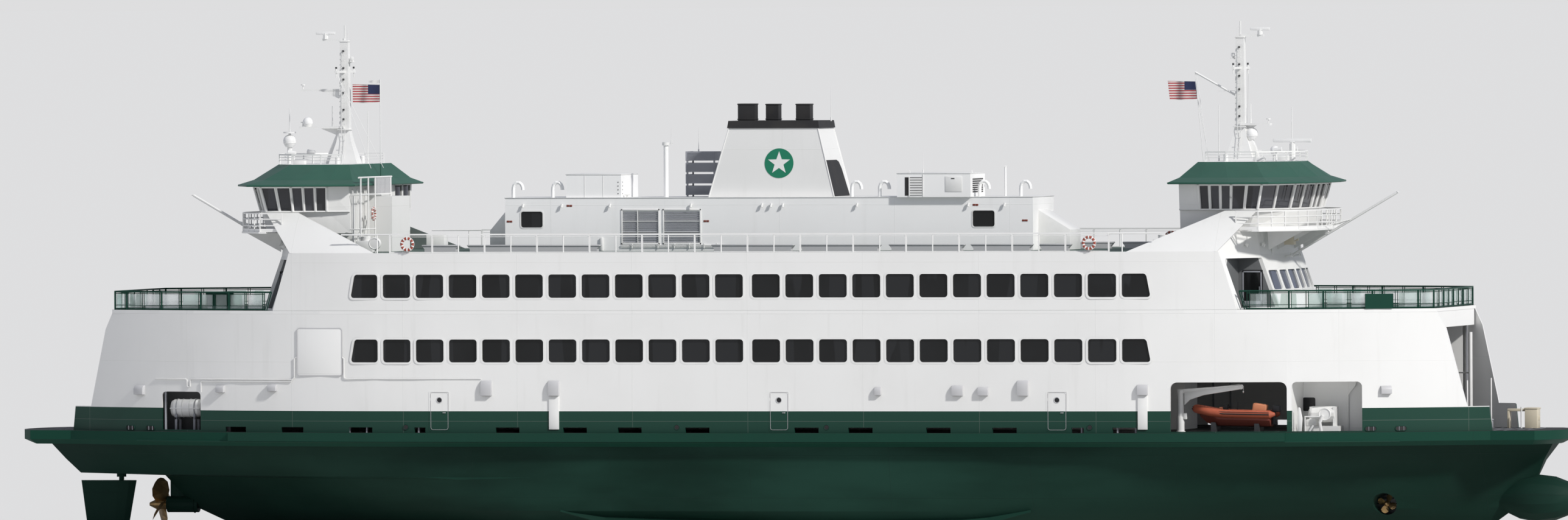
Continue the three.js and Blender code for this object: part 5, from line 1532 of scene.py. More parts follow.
@dataclass
class Pilothouses:
    """Both pilothouses: glass, mullions, wipers, roofs' seams, rails and balconies."""

    sill: Pairs = ((2.235, 0.62), (2.35, 0.65), (2.524, 0.688), (2.667, 0.695),
                   (2.775, 0.41), (2.82, 0.115))
    head: Pairs = ((2.235, 0.635), (2.345, 0.67), (2.53, 0.71), (2.695, 0.715),
                   (2.81, 0.425), (2.855, 0.12))
    sill_z: float = 1.713
    head_z: float = 1.846
    screen: float = -0.062  # the rear screen's place, from the rear wall
    eave: Pairs = ((2.19, 0.69), (2.34, 0.745), (2.54, 0.8), (2.745, 0.79),
                   (2.88, 0.47), (2.925, 0.14))
    balcony: Pairs = ((2.572, 0.765), (2.69, 0.765), (2.85, 0.52), (2.9, 0.3))
    roof_rail: Pairs = ((2.33, 0.42), (2.44, 0.438), (2.6, 0.428), (2.72, 0.238), (2.76, 0.088))

    @staticmethod
    def whole(e: float, half: Sequence[tuple[float, float]], z: float) -> list[Vector]:
        """A half plan made whole, from starboard round the front to port."""
        return [Vector((e * x, -y, z)) for x, y in half] + [Vector((e * x, y, z)) for x, y in reversed(half)]

    def facets(self, e: float) -> list[tuple[Vector, Vector, Vector, Vector, int]]:
        """Corners of each facet of the windows and the number of its panes."""
        low, high = self.whole(e, self.sill, self.sill_z), self.whole(e, self.head, self.head_z)
        counts = [0, 3, 2, 2, 2, 2, 2, 2, 2, 3, 0]
        return [(low[i], low[i + 1], high[i], high[i + 1], counts[i]) for i in range(len(counts))]

    def glaze(self, end: End) -> None:
        """Builds the panes, the mullions between them and the sill and head trims."""
        e, name = end.value, end.label
        panes, posts, wipers = Shape(), Shape(), Shape()
        for index, (a, b, c, d, count) in enumerate(self.facets(e)):
            if not count:
                continue
            inner = 0.002 if count == 2 and index in (2, 8) else 0.0042
            out = (b - a).cross(WORLD_UP).normalized()
            if out.dot(Vector((a.x - e * 2.5, a.y, 0))) < 0:
                out = -out
            margin = 0.0066 / (b - a).length
            up = (c - a).normalized()
            for k in range(count):
                t0, t1 = k / count + margin, (k + 1) / count - margin
                corners = [a.lerp(b, t0) + up * 0.005, a.lerp(b, t1) + up * 0.005,
                           c.lerp(d, t1) - up * 0.007, c.lerp(d, t0) - up * 0.007]
                panes.plate([p - out * 0.009 for p in corners], 0.0025)
                foot, tip = a.lerp(b, (t0 + t1) / 2), c.lerp(d, (t0 + t1) / 2)
                if count == 2 and abs(foot.y) < 0.55:
                    top = tip - up * 0.012 + out * 0.002
                    wipers.rod(top, foot.lerp(tip, 0.35) + out * 0.003, 0.0013, sides=6)
                    wipers.at(top).box((-0.004, -0.004, -0.004), (0.004, 0.004, 0.004), 0.001).at()
            for k in range(count + 1):
                foot = a.lerp(b, k / count) + up * 0.002
                tip = c.lerp(d, k / count) - up * 0.004
                radius = inner if 0 < k < count else 0.007
                posts.rod(foot + out * 0.0005, tip + out * 0.0005, radius, sides=8)
        sill = [p + Vector((0, 0, 0.0015)) for p in self.whole(e, self.sill, self.sill_z)]
        posts.pipe(sill, 0.0042, 6)
        panes.piece(f"bridge_glass_{name}", "bridge_glass")
        posts.piece(f"bridge_posts_{name}", "trim")
        wipers.piece(f"bridge_wipers_{name}", "soot_and_shade")

    def roof(self, end: End) -> None:
        """Builds the eave's gutter, the roof rail's bars and the fittings on the roof."""
        e, name = end.value, end.label
        line = self.whole(e, self.eave, 1.8515)
        Shape().pipe(line + line[:1], 0.0052, 8).piece(f"roof_gutter_{name}", "roof")
        bars = Shape()
        for z in (1.982, 1.997):
            bars.pipe(self.whole(e, self.roof_rail, z), 0.0017, 6)
        for s in (-1, 1):
            bars.at((0, 0, 0), e, s)
            bars.rod((2.4, 0.25, 1.958), (2.4, 0.25, 1.99), 0.012, sides=14)
            bars.ball((2.4, 0.25, 1.992), 0.013, (1, 1, 0.7), 14)
            bars.box((2.56, 0.28, 1.9585), (2.62, 0.32, 1.985), 0.003)
            bars.rod((2.655, 0.19, 1.958), (2.655, 0.19, 2.01), 0.005, sides=8)
            bars.rod((2.645, 0.19, 2.016), (2.685, 0.19, 2.02), 0.012, 0.015, 16)
        bars.piece(f"roof_fittings_{name}", "trim")

    def interior(self, end: End) -> None:
        """Builds the helm chairs, console screens and ceiling console that show through the glass."""
        e, name = end.value, end.label
        chairs = Shape()
        for y in (-0.2, 0.2):
            chairs.at((e * 2.56, y, 0), e)
            chairs.rod((0, 0, 1.6105), (0, 0, 1.665), 0.008, sides=12)
            chairs.rod((0, 0, 1.6105), (0, 0, 1.614), 0.024, sides=20)
            chairs.box((-0.027, -0.026, 1.665), (0.027, 0.026, 1.681), 0.006)
            chairs.box((-0.035, -0.024, 1.678), (-0.023, 0.024, 1.752), 0.005)
            for arm in (-0.031, 0.031):
                chairs.box((-e * 0.022, arm - 0.004, 1.694), (e * 0.016, arm + 0.004, 1.7), 0.002)
        chairs.piece(f"helm_chairs_{name}", "soot_and_shade")
        screens = Shape().at((e * 2.7, 0, 0), e)
        lean = Matrix.Rotation(e * 0.3, 3, "Y")
        for y in (-0.22, -0.11, 0, 0.11, 0.22):
            screens.box((-0.003, y - 0.036, 1.716), (0.003, y + 0.036, 1.76), 0.002, lean)
        screens.box((-0.12, -0.45, 1.826), (-0.04, 0.45, 1.842), 0.003)
        for y in (-0.52, 0.52):
            screens.box((-0.42, y - 0.03, 1.6105), (-0.3, y + 0.03, 1.69), 0.004)
        screens.piece(f"bridge_screens_{name}", "console")

    def balcony_bars(self, end: End) -> None:
        """Builds the balcony's middle bars, further posts, toe plate, brackets and jackstaff fittings."""
        e = end.value
        bars = Shape()
        line = []
        for p in self.whole(e, self.balcony, 0):
            line.append(p - Vector((e * 0.006, math.copysign(0.006, p.y), 0)))
        for z in (1.642, 1.676):
            bars.at((0, 0, z)).pipe(line, 0.0034, 8)
        bars.at()
        low, high = WORLD_UP * 1.609, WORLD_UP * 1.626
        for a, b in zip(line, line[1:]):
            bars.plate([a + low, b + low, b + high, a + high], 0.0015)
            count = max(1, round((b - a).length / 0.11))
            for k in range(1, count):
                p = a.lerp(b, k / count)
                bars.rod(p + WORLD_UP * 1.604, p + WORLD_UP * 1.708, 0.0036, sides=8)
        for y in (-0.422, -0.202, 0.198, 0.418):
            bars.plate([(e * 2.665, y, 1.5), (e * 2.85, y, 1.5995), (e * 2.66, y, 1.5995)], 0.004)
        bars.ring((e * 3.262, 0, 1.796), (e * 0.3, 0, 1), 0.007, 0.0018, 14, 6)
        for y in (-0.1, 0.1):
            bars.rod((e * 2.89, y, 1.62), (e * 3.02, 0, 1.657), 0.0022, sides=6)
        bars.piece(f"balcony_bars_{end.label}", "trim")

    def rear(self, end: End) -> None:
        """Builds the door, pipes, lockers, panes and ribbed screen behind a pilothouse."""
        e, name = end.value, end.label
        wall = (e * 2.235, 0, 0)
        gear, panes, slats = Shape().at(wall, e, e), Shape().at(wall, e, e), Shape().at(wall, e, e)
        gear.box((-0.003, 0.375, 1.602), (0.001, 0.465, 1.815), 0.003)
        gear.box((-0.005, 0.42 + e * 0.028, 1.7), (-0.002, 0.42 + e * 0.036, 1.716), 0.001)
        for y, radius in ((0.33, 0.006), (0.355, 0.004), (0.5, 0.0035), (0.59, 0.005)):
            gear.pipe([(-0.012, y, 1.4992), (-0.012, y, 1.79), (-0.012, y + 0.015, 1.83)], radius, 8)
        for y in (-0.42, 0.42):
            gear.box((-0.002, y - 0.05, 1.502), (0.002, y + 0.05, 1.592), 0.002)
        for y0, y1 in ((-0.59, -0.45), (-0.425, -0.285)):
            panes.box((-0.0015, y0, 1.716), (0.001, y1, 1.842), 0.0006)
            for left, right, low, high in (
                    (y0 - 0.007, y0 + 0.001, 1.709, 1.846), (y1 - 0.001, y1 + 0.007, 1.709, 1.846),
                    (y0, y1, 1.709, 1.717), (y0, y1, 1.841, 1.846)):
                gear.box((-0.004, left, low), (0.001, right, high), 0.0008)
        for y, foot in ((0.62, 1.4992), (0.47, 1.4992), (0.335, 1.4992), (0.02, 1.7895)):
            gear.rod((self.screen, y, foot), (self.screen, y, 1.892), 0.0045, sides=8)
        gear.rod((self.screen, 0.66, 1.892), (self.screen, 0, 1.892), 0.0045, sides=8)
        for y0, y1, z in ((0.62, 0.335, 1.62), (0.62, 0.335, 1.802), (0.335, 0.02, 1.802)):
            gear.rod((self.screen, y0, z), (self.screen, y1, z), 0.0035, sides=8)
        for y in (0.62, 0.47):
            for z in (1.62, 1.8):
                gear.rod((self.screen, y, z), (0, y, z), 0.0035, sides=8)
        for k in range(12):
            y, x = 0.03 + 0.026 * k, self.screen
            slats.box((x - 0.001, y - 0.009, 1.806), (x + 0.001, y + 0.009, 1.888), 0.0004)
        gear.at((0, 0, 0), e).box((2.1, -0.66, 1.4992), (2.19, -0.58, 1.56), 0.004)
        gear.box((2.02, 0.5, 1.4992), (2.12, 0.58, 1.58), 0.004)
        for k in range(4):
            gear.ring((2.145, -0.62, 1.563 + 0.006 * k), (0, 0, 1), 0.022, 0.0032, 20, 6)
        gear.piece(f"bridge_rear_gear_{name}", "trim")
        panes.piece(f"bridge_rear_panes_{name}", "glass")
        slats.piece(f"bridge_rear_screen_{name}", "vent")

    def build(self) -> None:
        """Builds and dresses both pilothouses."""
        for end in End:
            self.glaze(end)
            self.roof(end)
            self.interior(end)
            self.balcony_bars(end)
            self.rear(end)


@dataclass
class Masts:
    """Both masts with ladders, domes, lamps, radar bars, stays and flags."""

    place: float = 2.425

    def __post_init__(self) -> None:
        """Sets out the arms and the whip aerials of each mast."""
        # height of an arm, its reach and the place of its tip along the ship
        self.arms = {End.AFT: ((2.344, 0.24, -2.655), (2.146, 0.245, -2.657)),
                     End.FORE: ((2.146, 0.16, 2.573),)}
        # place, Y, foot and top of an aerial
        self.whips = {
            End.AFT: ((-2.495, 0, 2.148, 2.265), (-2.31, 0.03, 1.957, 2.236), (-2.73, 0, 2.11, 2.256)),
            End.FORE: ((2.478, 0, 2.148, 2.258), (2.307, 0, 1.957, 2.253), (2.664, 0.15, 1.957, 2.24))}

    def column(self, end: End) -> None:
        """Builds a mast's ladder, lamps, brackets, fairing and aerials."""
        e, name = end.value, end.label
        gear, lamps = Shape().at((e * self.place, 0, 0), e), Shape().at((e * self.place, 0, 0), e)
        for z in [2.0 + 0.028 * k for k in range(21)]:
            reach = 0.058 if z < 2.07 else 0.037
            gear.rod((-0.009, -reach, z), (0.009, -reach, z), 0.0015, sides=6)
        for x in (-0.009, 0.009):
            gear.pipe([(x, -0.06, 1.985), (x, -0.04, 2.09), (x, -0.034, 2.56)], 0.0015, 6)
        for z in (2.19, 2.24, 2.33, 2.4, 2.46, 2.55):
            lamps.box((-0.004, -0.04, z), (0.004, -0.024, z + 0.01), 0.0015)
        gear.box((-0.052, -0.02, 2.496), (-0.028, 0.02, 2.5), 0.001)
        gear.box((-0.04 - e * 0.008, -0.016, 2.505), (-0.04 + e * 0.01, -0.002, 2.525), 0.003)
        gear.rod((-0.04, 0.01, 2.498), (-0.04, 0.01, 2.524), 0.006, sides=12)
        gear.rod((-0.04, 0, 2.498), (0, 0, 2.48), 0.003, sides=6)
        for y in (-0.175, 0.175):
            gear.rod((0, y, 2.452), (0, y, 2.462), 0.004, sides=8)
            lamps.rod((0, y, 2.462), (0, y, 2.472), 0.0055, 0.005, 12)
            gear.rod((0, y, 2.44), (0, y, 2.415), 0.0022, sides=6)
        for y, top in ((-0.018, 2.655), (0.02, 2.668)):
            gear.rod((-0.012, y, 2.61), (-0.012, y, top), 0.0014, sides=6)
        gear.box((-0.026, -0.024, 2.604), (0.026, 0.024, 2.6085), 0.001)
        gear.box((-0.034, -0.04, 2.138), (0.034, 0.04, 2.142), 0.001)
        fairing = ((-0.005, 1.961), (0.105, 1.961), (0.085, 2.03), (0.03, 2.15), (-0.005, 2.175))
        gear.plate([(x, -0.016, z) for x, z in fairing], -0.032, 0.003)
        for z, reach, _ in self.arms[end]:
            knee = ((0.02, z - 0.045), (reach * 0.55, z + 0.001), (0.02, z + 0.001))
            gear.plate([(x, -0.002, up) for x, up in knee], 0.004)
        for z, _, tip in self.arms[end]:
            gear.at((tip, 0, z)).rod((0, 0, 0.006), (0, 0, 0.03), 0.003, sides=8)
            gear.rod((0, 0, 0.03), (0, 0, 0.036), 0.0115, sides=16)
        for x, y, foot, top in self.whips[end]:
            gear.at((x, y, 0)).rod((0, 0, foot), (0, 0, foot + 0.033), 0.004, sides=8)
            gear.rod((0, 0, foot + 0.033), (0, 0, top), 0.003, 0.0024, 8)
        gear.piece(f"mast_gear_{name}", "trim")
        lamps.piece(f"mast_lamps_{name}", "console")

    def domes(self) -> None:
        """Builds the smooth domes over the CAD's faceted ones, with their base rings and a flat aerial."""
        domes = Shape()
        for x, y, z, r in ((2.62, -0.06, 2.014, 0.0256), (-2.73, 0, 2.08, 0.0346),
                           (2.482, 0, 2.102, 0.0336), (-2.63, 0, 2.18, 0.0266)):
            domes.at((x, y, z)).ball((0, 0, 0), r, sides=32)
            domes.rod((0, 0, -r * 0.92), (0, 0, -r * 0.55), r * 0.62, r * 0.86, 28)
            domes.ring((0, 0, -r * 0.3), (0, 0, 1), r * 0.965, r * 0.045, 32, 6)
        domes.at((-2.73, 0, 2.11)).rod((0, 0, 0), (0, 0, 0.014), 0.007, sides=12)
        domes.rod((0, 0, 0.012), (0, 0, 0.019), 0.034, sides=28)
        domes.piece("mast_domes", "canister")

    def radars(self) -> None:
        """Builds the shaped casings of the turning radar bars."""
        for node, half, depth in (("radar_aft", 0.0078, 0.016), ("radar_fore", 0.0078, 0.016),
                                  ("radar_bow", 0.0098, 0.019)):
            low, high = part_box(node)
            reach = (high.x - low.x) / 2
            case = Shape().at(((low.x + high.x) / 2, 0, high.z))
            case.box((-reach - 0.0006, -half, -depth), (reach + 0.0006, half, 0.0006), 0.004, segments=3)
            case.box((-0.014, -half - 0.001, -depth - 0.0005), (0.014, half + 0.001, 0.007 - depth), 0.002)
            case.piece(f"{node}_casing", "canister", f"{node}_body")

    def stays(self) -> None:
        """Builds the taut stays and halyards between the masts, gaffs and roofs."""
        lines = Shape()
        for a, b in (
                ((-2.425, -0.185, 2.441), (-2.135, -0.3, 1.94)),
                ((-2.425, -0.16, 2.441), (-2.135, -0.55, 1.94)),
                ((2.425, 0.185, 2.441), (2.36, 0.44, 1.962)), ((2.19, 0, 2.415), (2.262, -0.05, 1.962)),
                ((2.188, 0, 2.33), (2.243, 0.05, 1.962)), ((2.302, 0, 2.327), (2.415, 0, 2.327))):
            lines.rod(a, b, 0.0012, sides=6)
        lines.piece("stays", "trim")

    def cloth(self, name: str, corners: Sequence[Point], waves: float, depth: float,
              finish: str) -> bpy.types.Object:
        """Builds one flag as a thin rippled sheet.

        Args:
            name: Name of the piece.
            corners: Hoist foot, hoist head, fly head, fly foot.
            waves: Ripples along the fly.
            depth: How far a ripple stands out at the fly.
            finish: Key of the finish.

        Returns:
            The flag.
        """
        foot, head, fly_head, fly_foot = (Vector(c) for c in corners)
        shape = Shape()
        across, up = 36, 18
        bmesh.ops.create_grid(shape.bm, x_segments=across, y_segments=up, size=0.5)
        for vert in shape.bm.verts:
            u, v = vert.co.x + 0.5, vert.co.y + 0.5
            point = foot.lerp(head, v).lerp(fly_foot.lerp(fly_head, v), u)
            swing = math.sin(waves * math.tau * u + 0.9 * v) * depth * min(1.0, 1.6 * u)
            vert.co = point + Vector((0, swing, -0.004 * math.sin(math.pi * u) * (1 - v)))
        made = shape.piece(name, finish, smooth=180)
        wall = made.modifiers.new("cloth", "SOLIDIFY")
        wall.thickness = 0.0006
        wall.offset = 0
        return made

    def flags(self) -> None:
        """Builds the flag at each mast and the pennant over the aft one, each as a thin sheet."""
        lift, length = 0.004, 0.146
        for end, raked, held_by in ((End.AFT, 0.0, "pilothouse_roof_aft"), (End.FORE, 0.0098, "mast_fore")):
            node = f"flag_{end.label}"
            low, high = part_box(node)
            head = high.x - raked
            corners = [(high.x, 0, low.z + lift), (head, 0, high.z - lift), (head - length, 0, high.z),
                       (high.x - length, 0, low.z)]
            flag = self.cloth(f"{node}_cloth", corners, 1.6, 0.0085, f"bunting_{end.label}")
            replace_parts(flag, node)
        x, tip = -2.2354, -2.2974
        corners = [(x, 0, 2.386), (x, 0, 2.401), (tip, 0, 2.398), (tip, 0, 2.389)]
        pennant = self.cloth("pennant_cloth", corners, 1.2, 0.004, "pennant")

    def build(self) -> None:
        """Builds and dresses the masts and all that they carry."""
        for end in End:
            self.column(end)
        self.domes()
        self.radars()
        self.stays()
        self.flags()


@dataclass
class BoatGear:
    """The inflatable rescue boat with its davit, the life raft, and the mooring gear."""

    boat_y: float = -0.706
    stern: float = 2.742
    davit: tuple[float, float] = (2.264, -0.742)
    raft: tuple[float, float, float] = (-3.1425, -0.56, 0.68)

    def collar(self) -> list[Vector]:
        """Middle line of the boat's collar from stern to stern, measured from the boat's middle plane."""
        half = 0.06
        side = [Vector((self.stern - 0.03 * k, -half, 0.652 + 0.0006 * k)) for k in range(9)]
        nose = []
        for k in range(13):
            a = math.radians(-78 + 13 * k)
            c = math.cos(a)
            nose.append(Vector((2.455 - 0.115 * c, half * math.sin(a), 0.66 + 0.022 * c)))
        return side + nose + [Vector((p.x, -p.y, p.z)) for p in reversed(side)]

    def boat_tubes(self) -> None:
        """Builds the boat's inflated collar with its strake and grab line."""
        place = (0, self.boat_y, 0)
        line = self.collar()
        tube = Shape().at(place).pipe(line, 0.0215, 16)
        for p in (line[0], line[-1]):
            tube.rod(p, p + Vector((0.028, 0, 0.002)), 0.0213, 0.008, 16)
        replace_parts(tube.piece("boat_collar", "orange"), "rescue_boat")
        outward = []
        for p in line:
            away = Vector((p.x - 2.56 if p.x < 2.47 else 0, p.y, 0))
            outward.append(p + away.normalized() * 0.0212)
        trim = Shape().at(place).pipe(outward, 0.0036, 6)
        trim.pipe([p + Vector((0, 0, 0.01)) for p in outward], 0.0014, 5)
        trim.piece("boat_rub_strake", "soot_and_shade")

    def boat_inside(self) -> None:
        """Builds the boat's hull, console, cushions and outboard motor."""
        hull, fit, motor, seat = (Shape().at((0, self.boat_y, 0)) for _ in range(4))
        for x, half, z in ((2.35, 0, 0.668), (2.362, 0, 0.64), (2.395, 0, 0.61), (2.44, 0, 0.592),
                           (2.742, 0, 0.587), (2.375, 0.03, 0.662), (2.42, 0.052, 0.65),
                           (2.47, 0.06, 0.628), (2.47, 0.034, 0.598), (2.742, 0.036, 0.592),
                           (2.742, 0.066, 0.622), (2.742, 0.062, 0.648), (2.46, 0.062, 0.655)):
            for y in {-half, half}:
                hull.bm.verts.new(hull.point((x, y, z)))
        bmesh.ops.convex_hull(hull.bm, input=hull.bm.verts[:])
        hull.piece("boat_hull", "wine", smooth=30)
        fit.box((2.482, -0.018, 0.645), (2.508, 0.018, 0.7), 0.004)
        fit.rod((2.56, 0, 0.645), (2.56, 0, 0.716), 0.0012, sides=6)
        fit.ring((2.512, 0, 0.694), (1, 0, 0.4), 0.011, 0.0016, 16, 6)
        fit.box((2.73, -0.05, 0.63), (2.742, 0.05, 0.672), 0.003)
        fit.piece("boat_fittings", "soot_and_shade")
        motor.box((2.743, -0.012, 0.6), (2.76, 0.012, 0.676), 0.004)
        motor.box((2.744, -0.018, 0.664), (2.788, 0.018, 0.7), 0.008, segments=3)
        motor.rod((2.752, 0, 0.607), (2.77, 0, 0.604), 0.01, 0.006, 12)
        motor.piece("boat_motor", "console")
        seat.box((2.64, -0.024, 0.65), (2.716, 0.024, 0.708), 0.008, Matrix.Rotation(0.16, 3, "Y"), 4)
        seat.box((2.462, -0.02, 0.65), (2.486, 0.02, 0.69), 0.006, segments=3)
        seat.piece("boat_seat", "tan")

    def davit_gear(self) -> None:
        """Builds the davit's foot, winch, knee, sheave, fall wire and hook."""
        place = (*self.davit, 0)
        post = Shape().at(place).rod((0, 0, 0.5603), (0, 0, 0.566), 0.024, sides=24)
        post.rod((0, 0, 0.566), (0, 0, 0.64), 0.0195, sides=24)
        post.box((0.014, -0.014, 0.627), (0.034, 0.01, 0.66), 0.003)
        post.piece("davit_foot", "trim")
        knee = ((0.0215, 0.7), (0.05, 0.728), (0.12, 0.752), (0.318, 0.783), (0.318, 0.8),
                (0.0215, 0.77))
        arm = Shape().at(place).plate([(x, -0.011, z) for x, z in knee], -0.022, 0.002)
        arm.rod((0.322, -0.006, 0.795), (0.322, 0.006, 0.795), 0.0125, sides=18)
        arm.rod((0.3335, 0, 0.792), (0.3335, 0, 0.772), 0.0011, sides=6)
        arm.ball((0.3335, 0, 0.77), 0.0042, (1, 1, 1.3), 10)
        arm.rod((-0.004, 0, 0.776), (0.315, 0, 0.8085), 0.001, sides=6)
        arm.piece("davit_fall", "trim", "davit_body")

    def life_raft(self) -> None:
        """Builds the raft's ribbed canister, its straps and its cradle."""
        _, y, z = self.raft
        shell = Shape().at(self.raft).rod((-0.066, 0, 0), (0.066, 0, 0), 0.0475, sides=36)
        for s in (-1, 1):
            shell.at(self.raft, s).rod((0.066, 0, 0), (0.08, 0, 0), 0.0475, 0.04, 36)
            shell.rod((0.08, 0, 0), (0.0875, 0, 0), 0.04, 0.024, 36)
            for rib in (0.02, 0.045):
                shell.ring((rib, 0, 0), (s, 0, 0), 0.0478, 0.0024, 36, 6)
        shell.box((-0.082, -0.0505, -0.003), (0.082, 0.0505, 0.003), 0.001)
        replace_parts(shell.piece("raft_canister", "canister"), "life_raft")
        cradle = Shape()
        for cx in (-3.192, -3.092):
            cradle.at((cx, y, 0))
            for side in (-0.04, 0.04):
                cradle.box((-0.006, side - 0.006, 0.5603), (0.006, side + 0.006, 0.652), 0.001)
            cradle.box((-0.006, -0.046, 0.622), (0.006, 0.046, 0.634), 0.001)
            cradle.ring((0, 0, z), (1, 0, 0), 0.049, 0.0018, 36, 5)
        cradle.piece("raft_cradle", "grey")

    def mooring_gear(self) -> None:
        """Builds the winch's brake wheel and warping head, the lever, reel and pipes of the mooring bays."""
        gear = Shape().at((2.912, -0.58, 0.65))
        gear.ring((0, 0, 0), (1, 0, 0), 0.024, 0.0022, 24, 6)
        for y, z in ((1, 0), (0, 1), (-1, 0), (0, -1)):
            gear.rod((0, 0, 0), (0, 0.024 * y, 0.024 * z), 0.0016, sides=6)
        gear.at().box((2.905, -0.635, 0.591), (2.96, -0.545, 0.625), 0.004)
        lever = ((2.884, 0.5602), (2.906, 0.5602), (2.912, 0.63), (2.9, 0.688), (2.89, 0.69))
        gear.plate([(x, -0.752, z) for x, z in lever], -0.012, 0.003)
        gear.at((3.012, 0, 0.652)).rod((0, -0.65, 0), (0, -0.668, 0), 0.032, sides=32)
        gear.ring((0, -0.668, 0), (0, 1, 0), 0.03, 0.0035, 32, 8)
        gear.rod((0, -0.645, 0), (0, -0.62, 0), 0.012, sides=16)
        gear.at()
        for radius, sides, run in (
                (0.0085, 10, ((3.004, -0.674, 0.645), (2.988, -0.676, 0.61), (2.996, -0.676, 0.5603))),
                (0.0035, 8, ((2.915, -0.7, 0.5603), (2.915, -0.7, 0.64), (2.99, -0.7, 0.64))),
                (0.005, 8, ((2.945, -0.745, 0.5603), (2.968, -0.745, 0.595))),
                (0.004, 8, ((3.1, -0.4965, 0.5603), (3.1, -0.4965, 0.75), (3.14, -0.4965, 0.8),
                            (3.14, -0.4965, 1.14)))):
            gear.pipe(run, radius, sides)
        gear.piece("mooring_gear", "trim")
        outline = rounded(2.858, 2.924, 0.665, 0.735, 0.009, 3)
        window = Shape().plate([(x, -0.4905, z) for x, z in outline], 0.0025)
        window.end_for_end().piece("mooring_windows", "glass")

    def build(self) -> None:
        """Builds and dresses all of the boat and deck gear."""
        self.boat_tubes()
        self.boat_inside()
        self.davit_gear()
        self.life_raft()
        self.mooring_gear()


@dataclass
class Studio:
    """A pale floor, soft light and the camera at the photograph's angle."""

    azimuth: float = 14.0
    elevation: float = 0.8
    distance: float = 100.0
    pixels_per_metre: float = 312.55
    roll: float = -0.3
    photo_width: int = 2576
    target: tuple[float, float, float] = (-0.0386, 0.0, 1.4467)
    sensor: float = 36.0

    def floor(self, colour: Colour) -> None:
        """Builds the floor disc with a plain finish."""
        shape = Shape()
        bmesh.ops.create_circle(shape.bm, cap_ends=True, segments=96, radius=4000.0)
        mesh = bpy.data.meshes.new("floor")
        shape.bm.to_mesh(mesh)
        shape.bm.free()
        material = bpy.data.materials.new("floor paint")
        material.use_nodes = True
        Graph(material.node_tree).fill(material.node_tree.nodes["Principled BSDF"], {
            "Base Color": colour, "Roughness": 0.9, "Specular IOR Level": 0.0})
        mesh.materials.append(material)
        floor = bpy.data.objects.new("floor", mesh)
        bpy.context.scene.collection.objects.link(floor)

    def light(self) -> None:
        """Builds the soft sky and the broad key light from the photograph's upper right."""
        scene = bpy.context.scene
        scene.view_settings.view_transform = "Standard"
        world = bpy.data.worlds.new("studio")
        world.use_nodes = True
        graph = Graph(world.node_tree)
        nodes = world.node_tree.nodes
        sky = graph.fill(nodes["Background"], {"Color": (0.83, 0.87, 1.0, 1), "Strength": 0.46}).outputs[0]
        backdrop = graph.add("Background", {"Color": (0.73, 0.73, 0.737, 1)}).outputs[0]
        seen = graph.add("LightPath", {}).outputs["Is Camera Ray"]
        choice = graph.add("MixShader", {0: seen, 1: sky, 2: backdrop}).outputs[0]
        graph.fill(nodes["World Output"], {"Surface": choice})
        scene.world = world
        key = bpy.data.lights.new("key", "SUN")
        key.energy = 3.05
        key.angle = math.radians(4)
        key.color = (1.0, 0.98, 0.95)
        lamp = bpy.data.objects.new("key", key)
        lamp.rotation_euler = heading(60, 35).to_track_quat("Z", "Y").to_euler()
        scene.collection.objects.link(lamp)

    def bay_lamps(self) -> None:
        """Lights the open bays of the car deck from just under the deck above them."""
        for x, y, energy in ((2.5, -0.68, 0.45), (3.02, -0.605, 0.22), (-3.13, -0.58, 0.65)):
            data = bpy.data.lights.new("bay", "AREA")
            data.size = 0.12
            data.energy = energy
            lamp = bpy.data.objects.new("bay", data)
            lamp.location = (x, y, 1.085)
            bpy.context.scene.collection.objects.link(lamp)

    def camera(self) -> None:
        """Places the camera so that the ship lies in the frame as in the photograph."""
        back = heading(self.azimuth, self.elevation)
        data = bpy.data.cameras.new("camera")
        data.sensor_width = self.sensor
        data.lens = self.sensor * self.distance * self.pixels_per_metre / self.photo_width
        data.clip_start, data.clip_end = 1.0, 6000.0
        camera = bpy.data.objects.new("camera", data)
        camera.location = Vector(self.target) + back * self.distance
        roll = Quaternion((0, 0, 1), math.radians(self.roll))
        camera.rotation_euler = ((-back).to_track_quat("-Z", "Y") @ roll).to_euler()
        bpy.context.scene.collection.objects.link(camera)
        bpy.context.scene.camera = camera

    def build(self) -> None:
        """Builds the studio."""
        self.floor((0.78, 0.775, 0.75, 1))
        self.light()
        self.bay_lamps()
        self.camera()


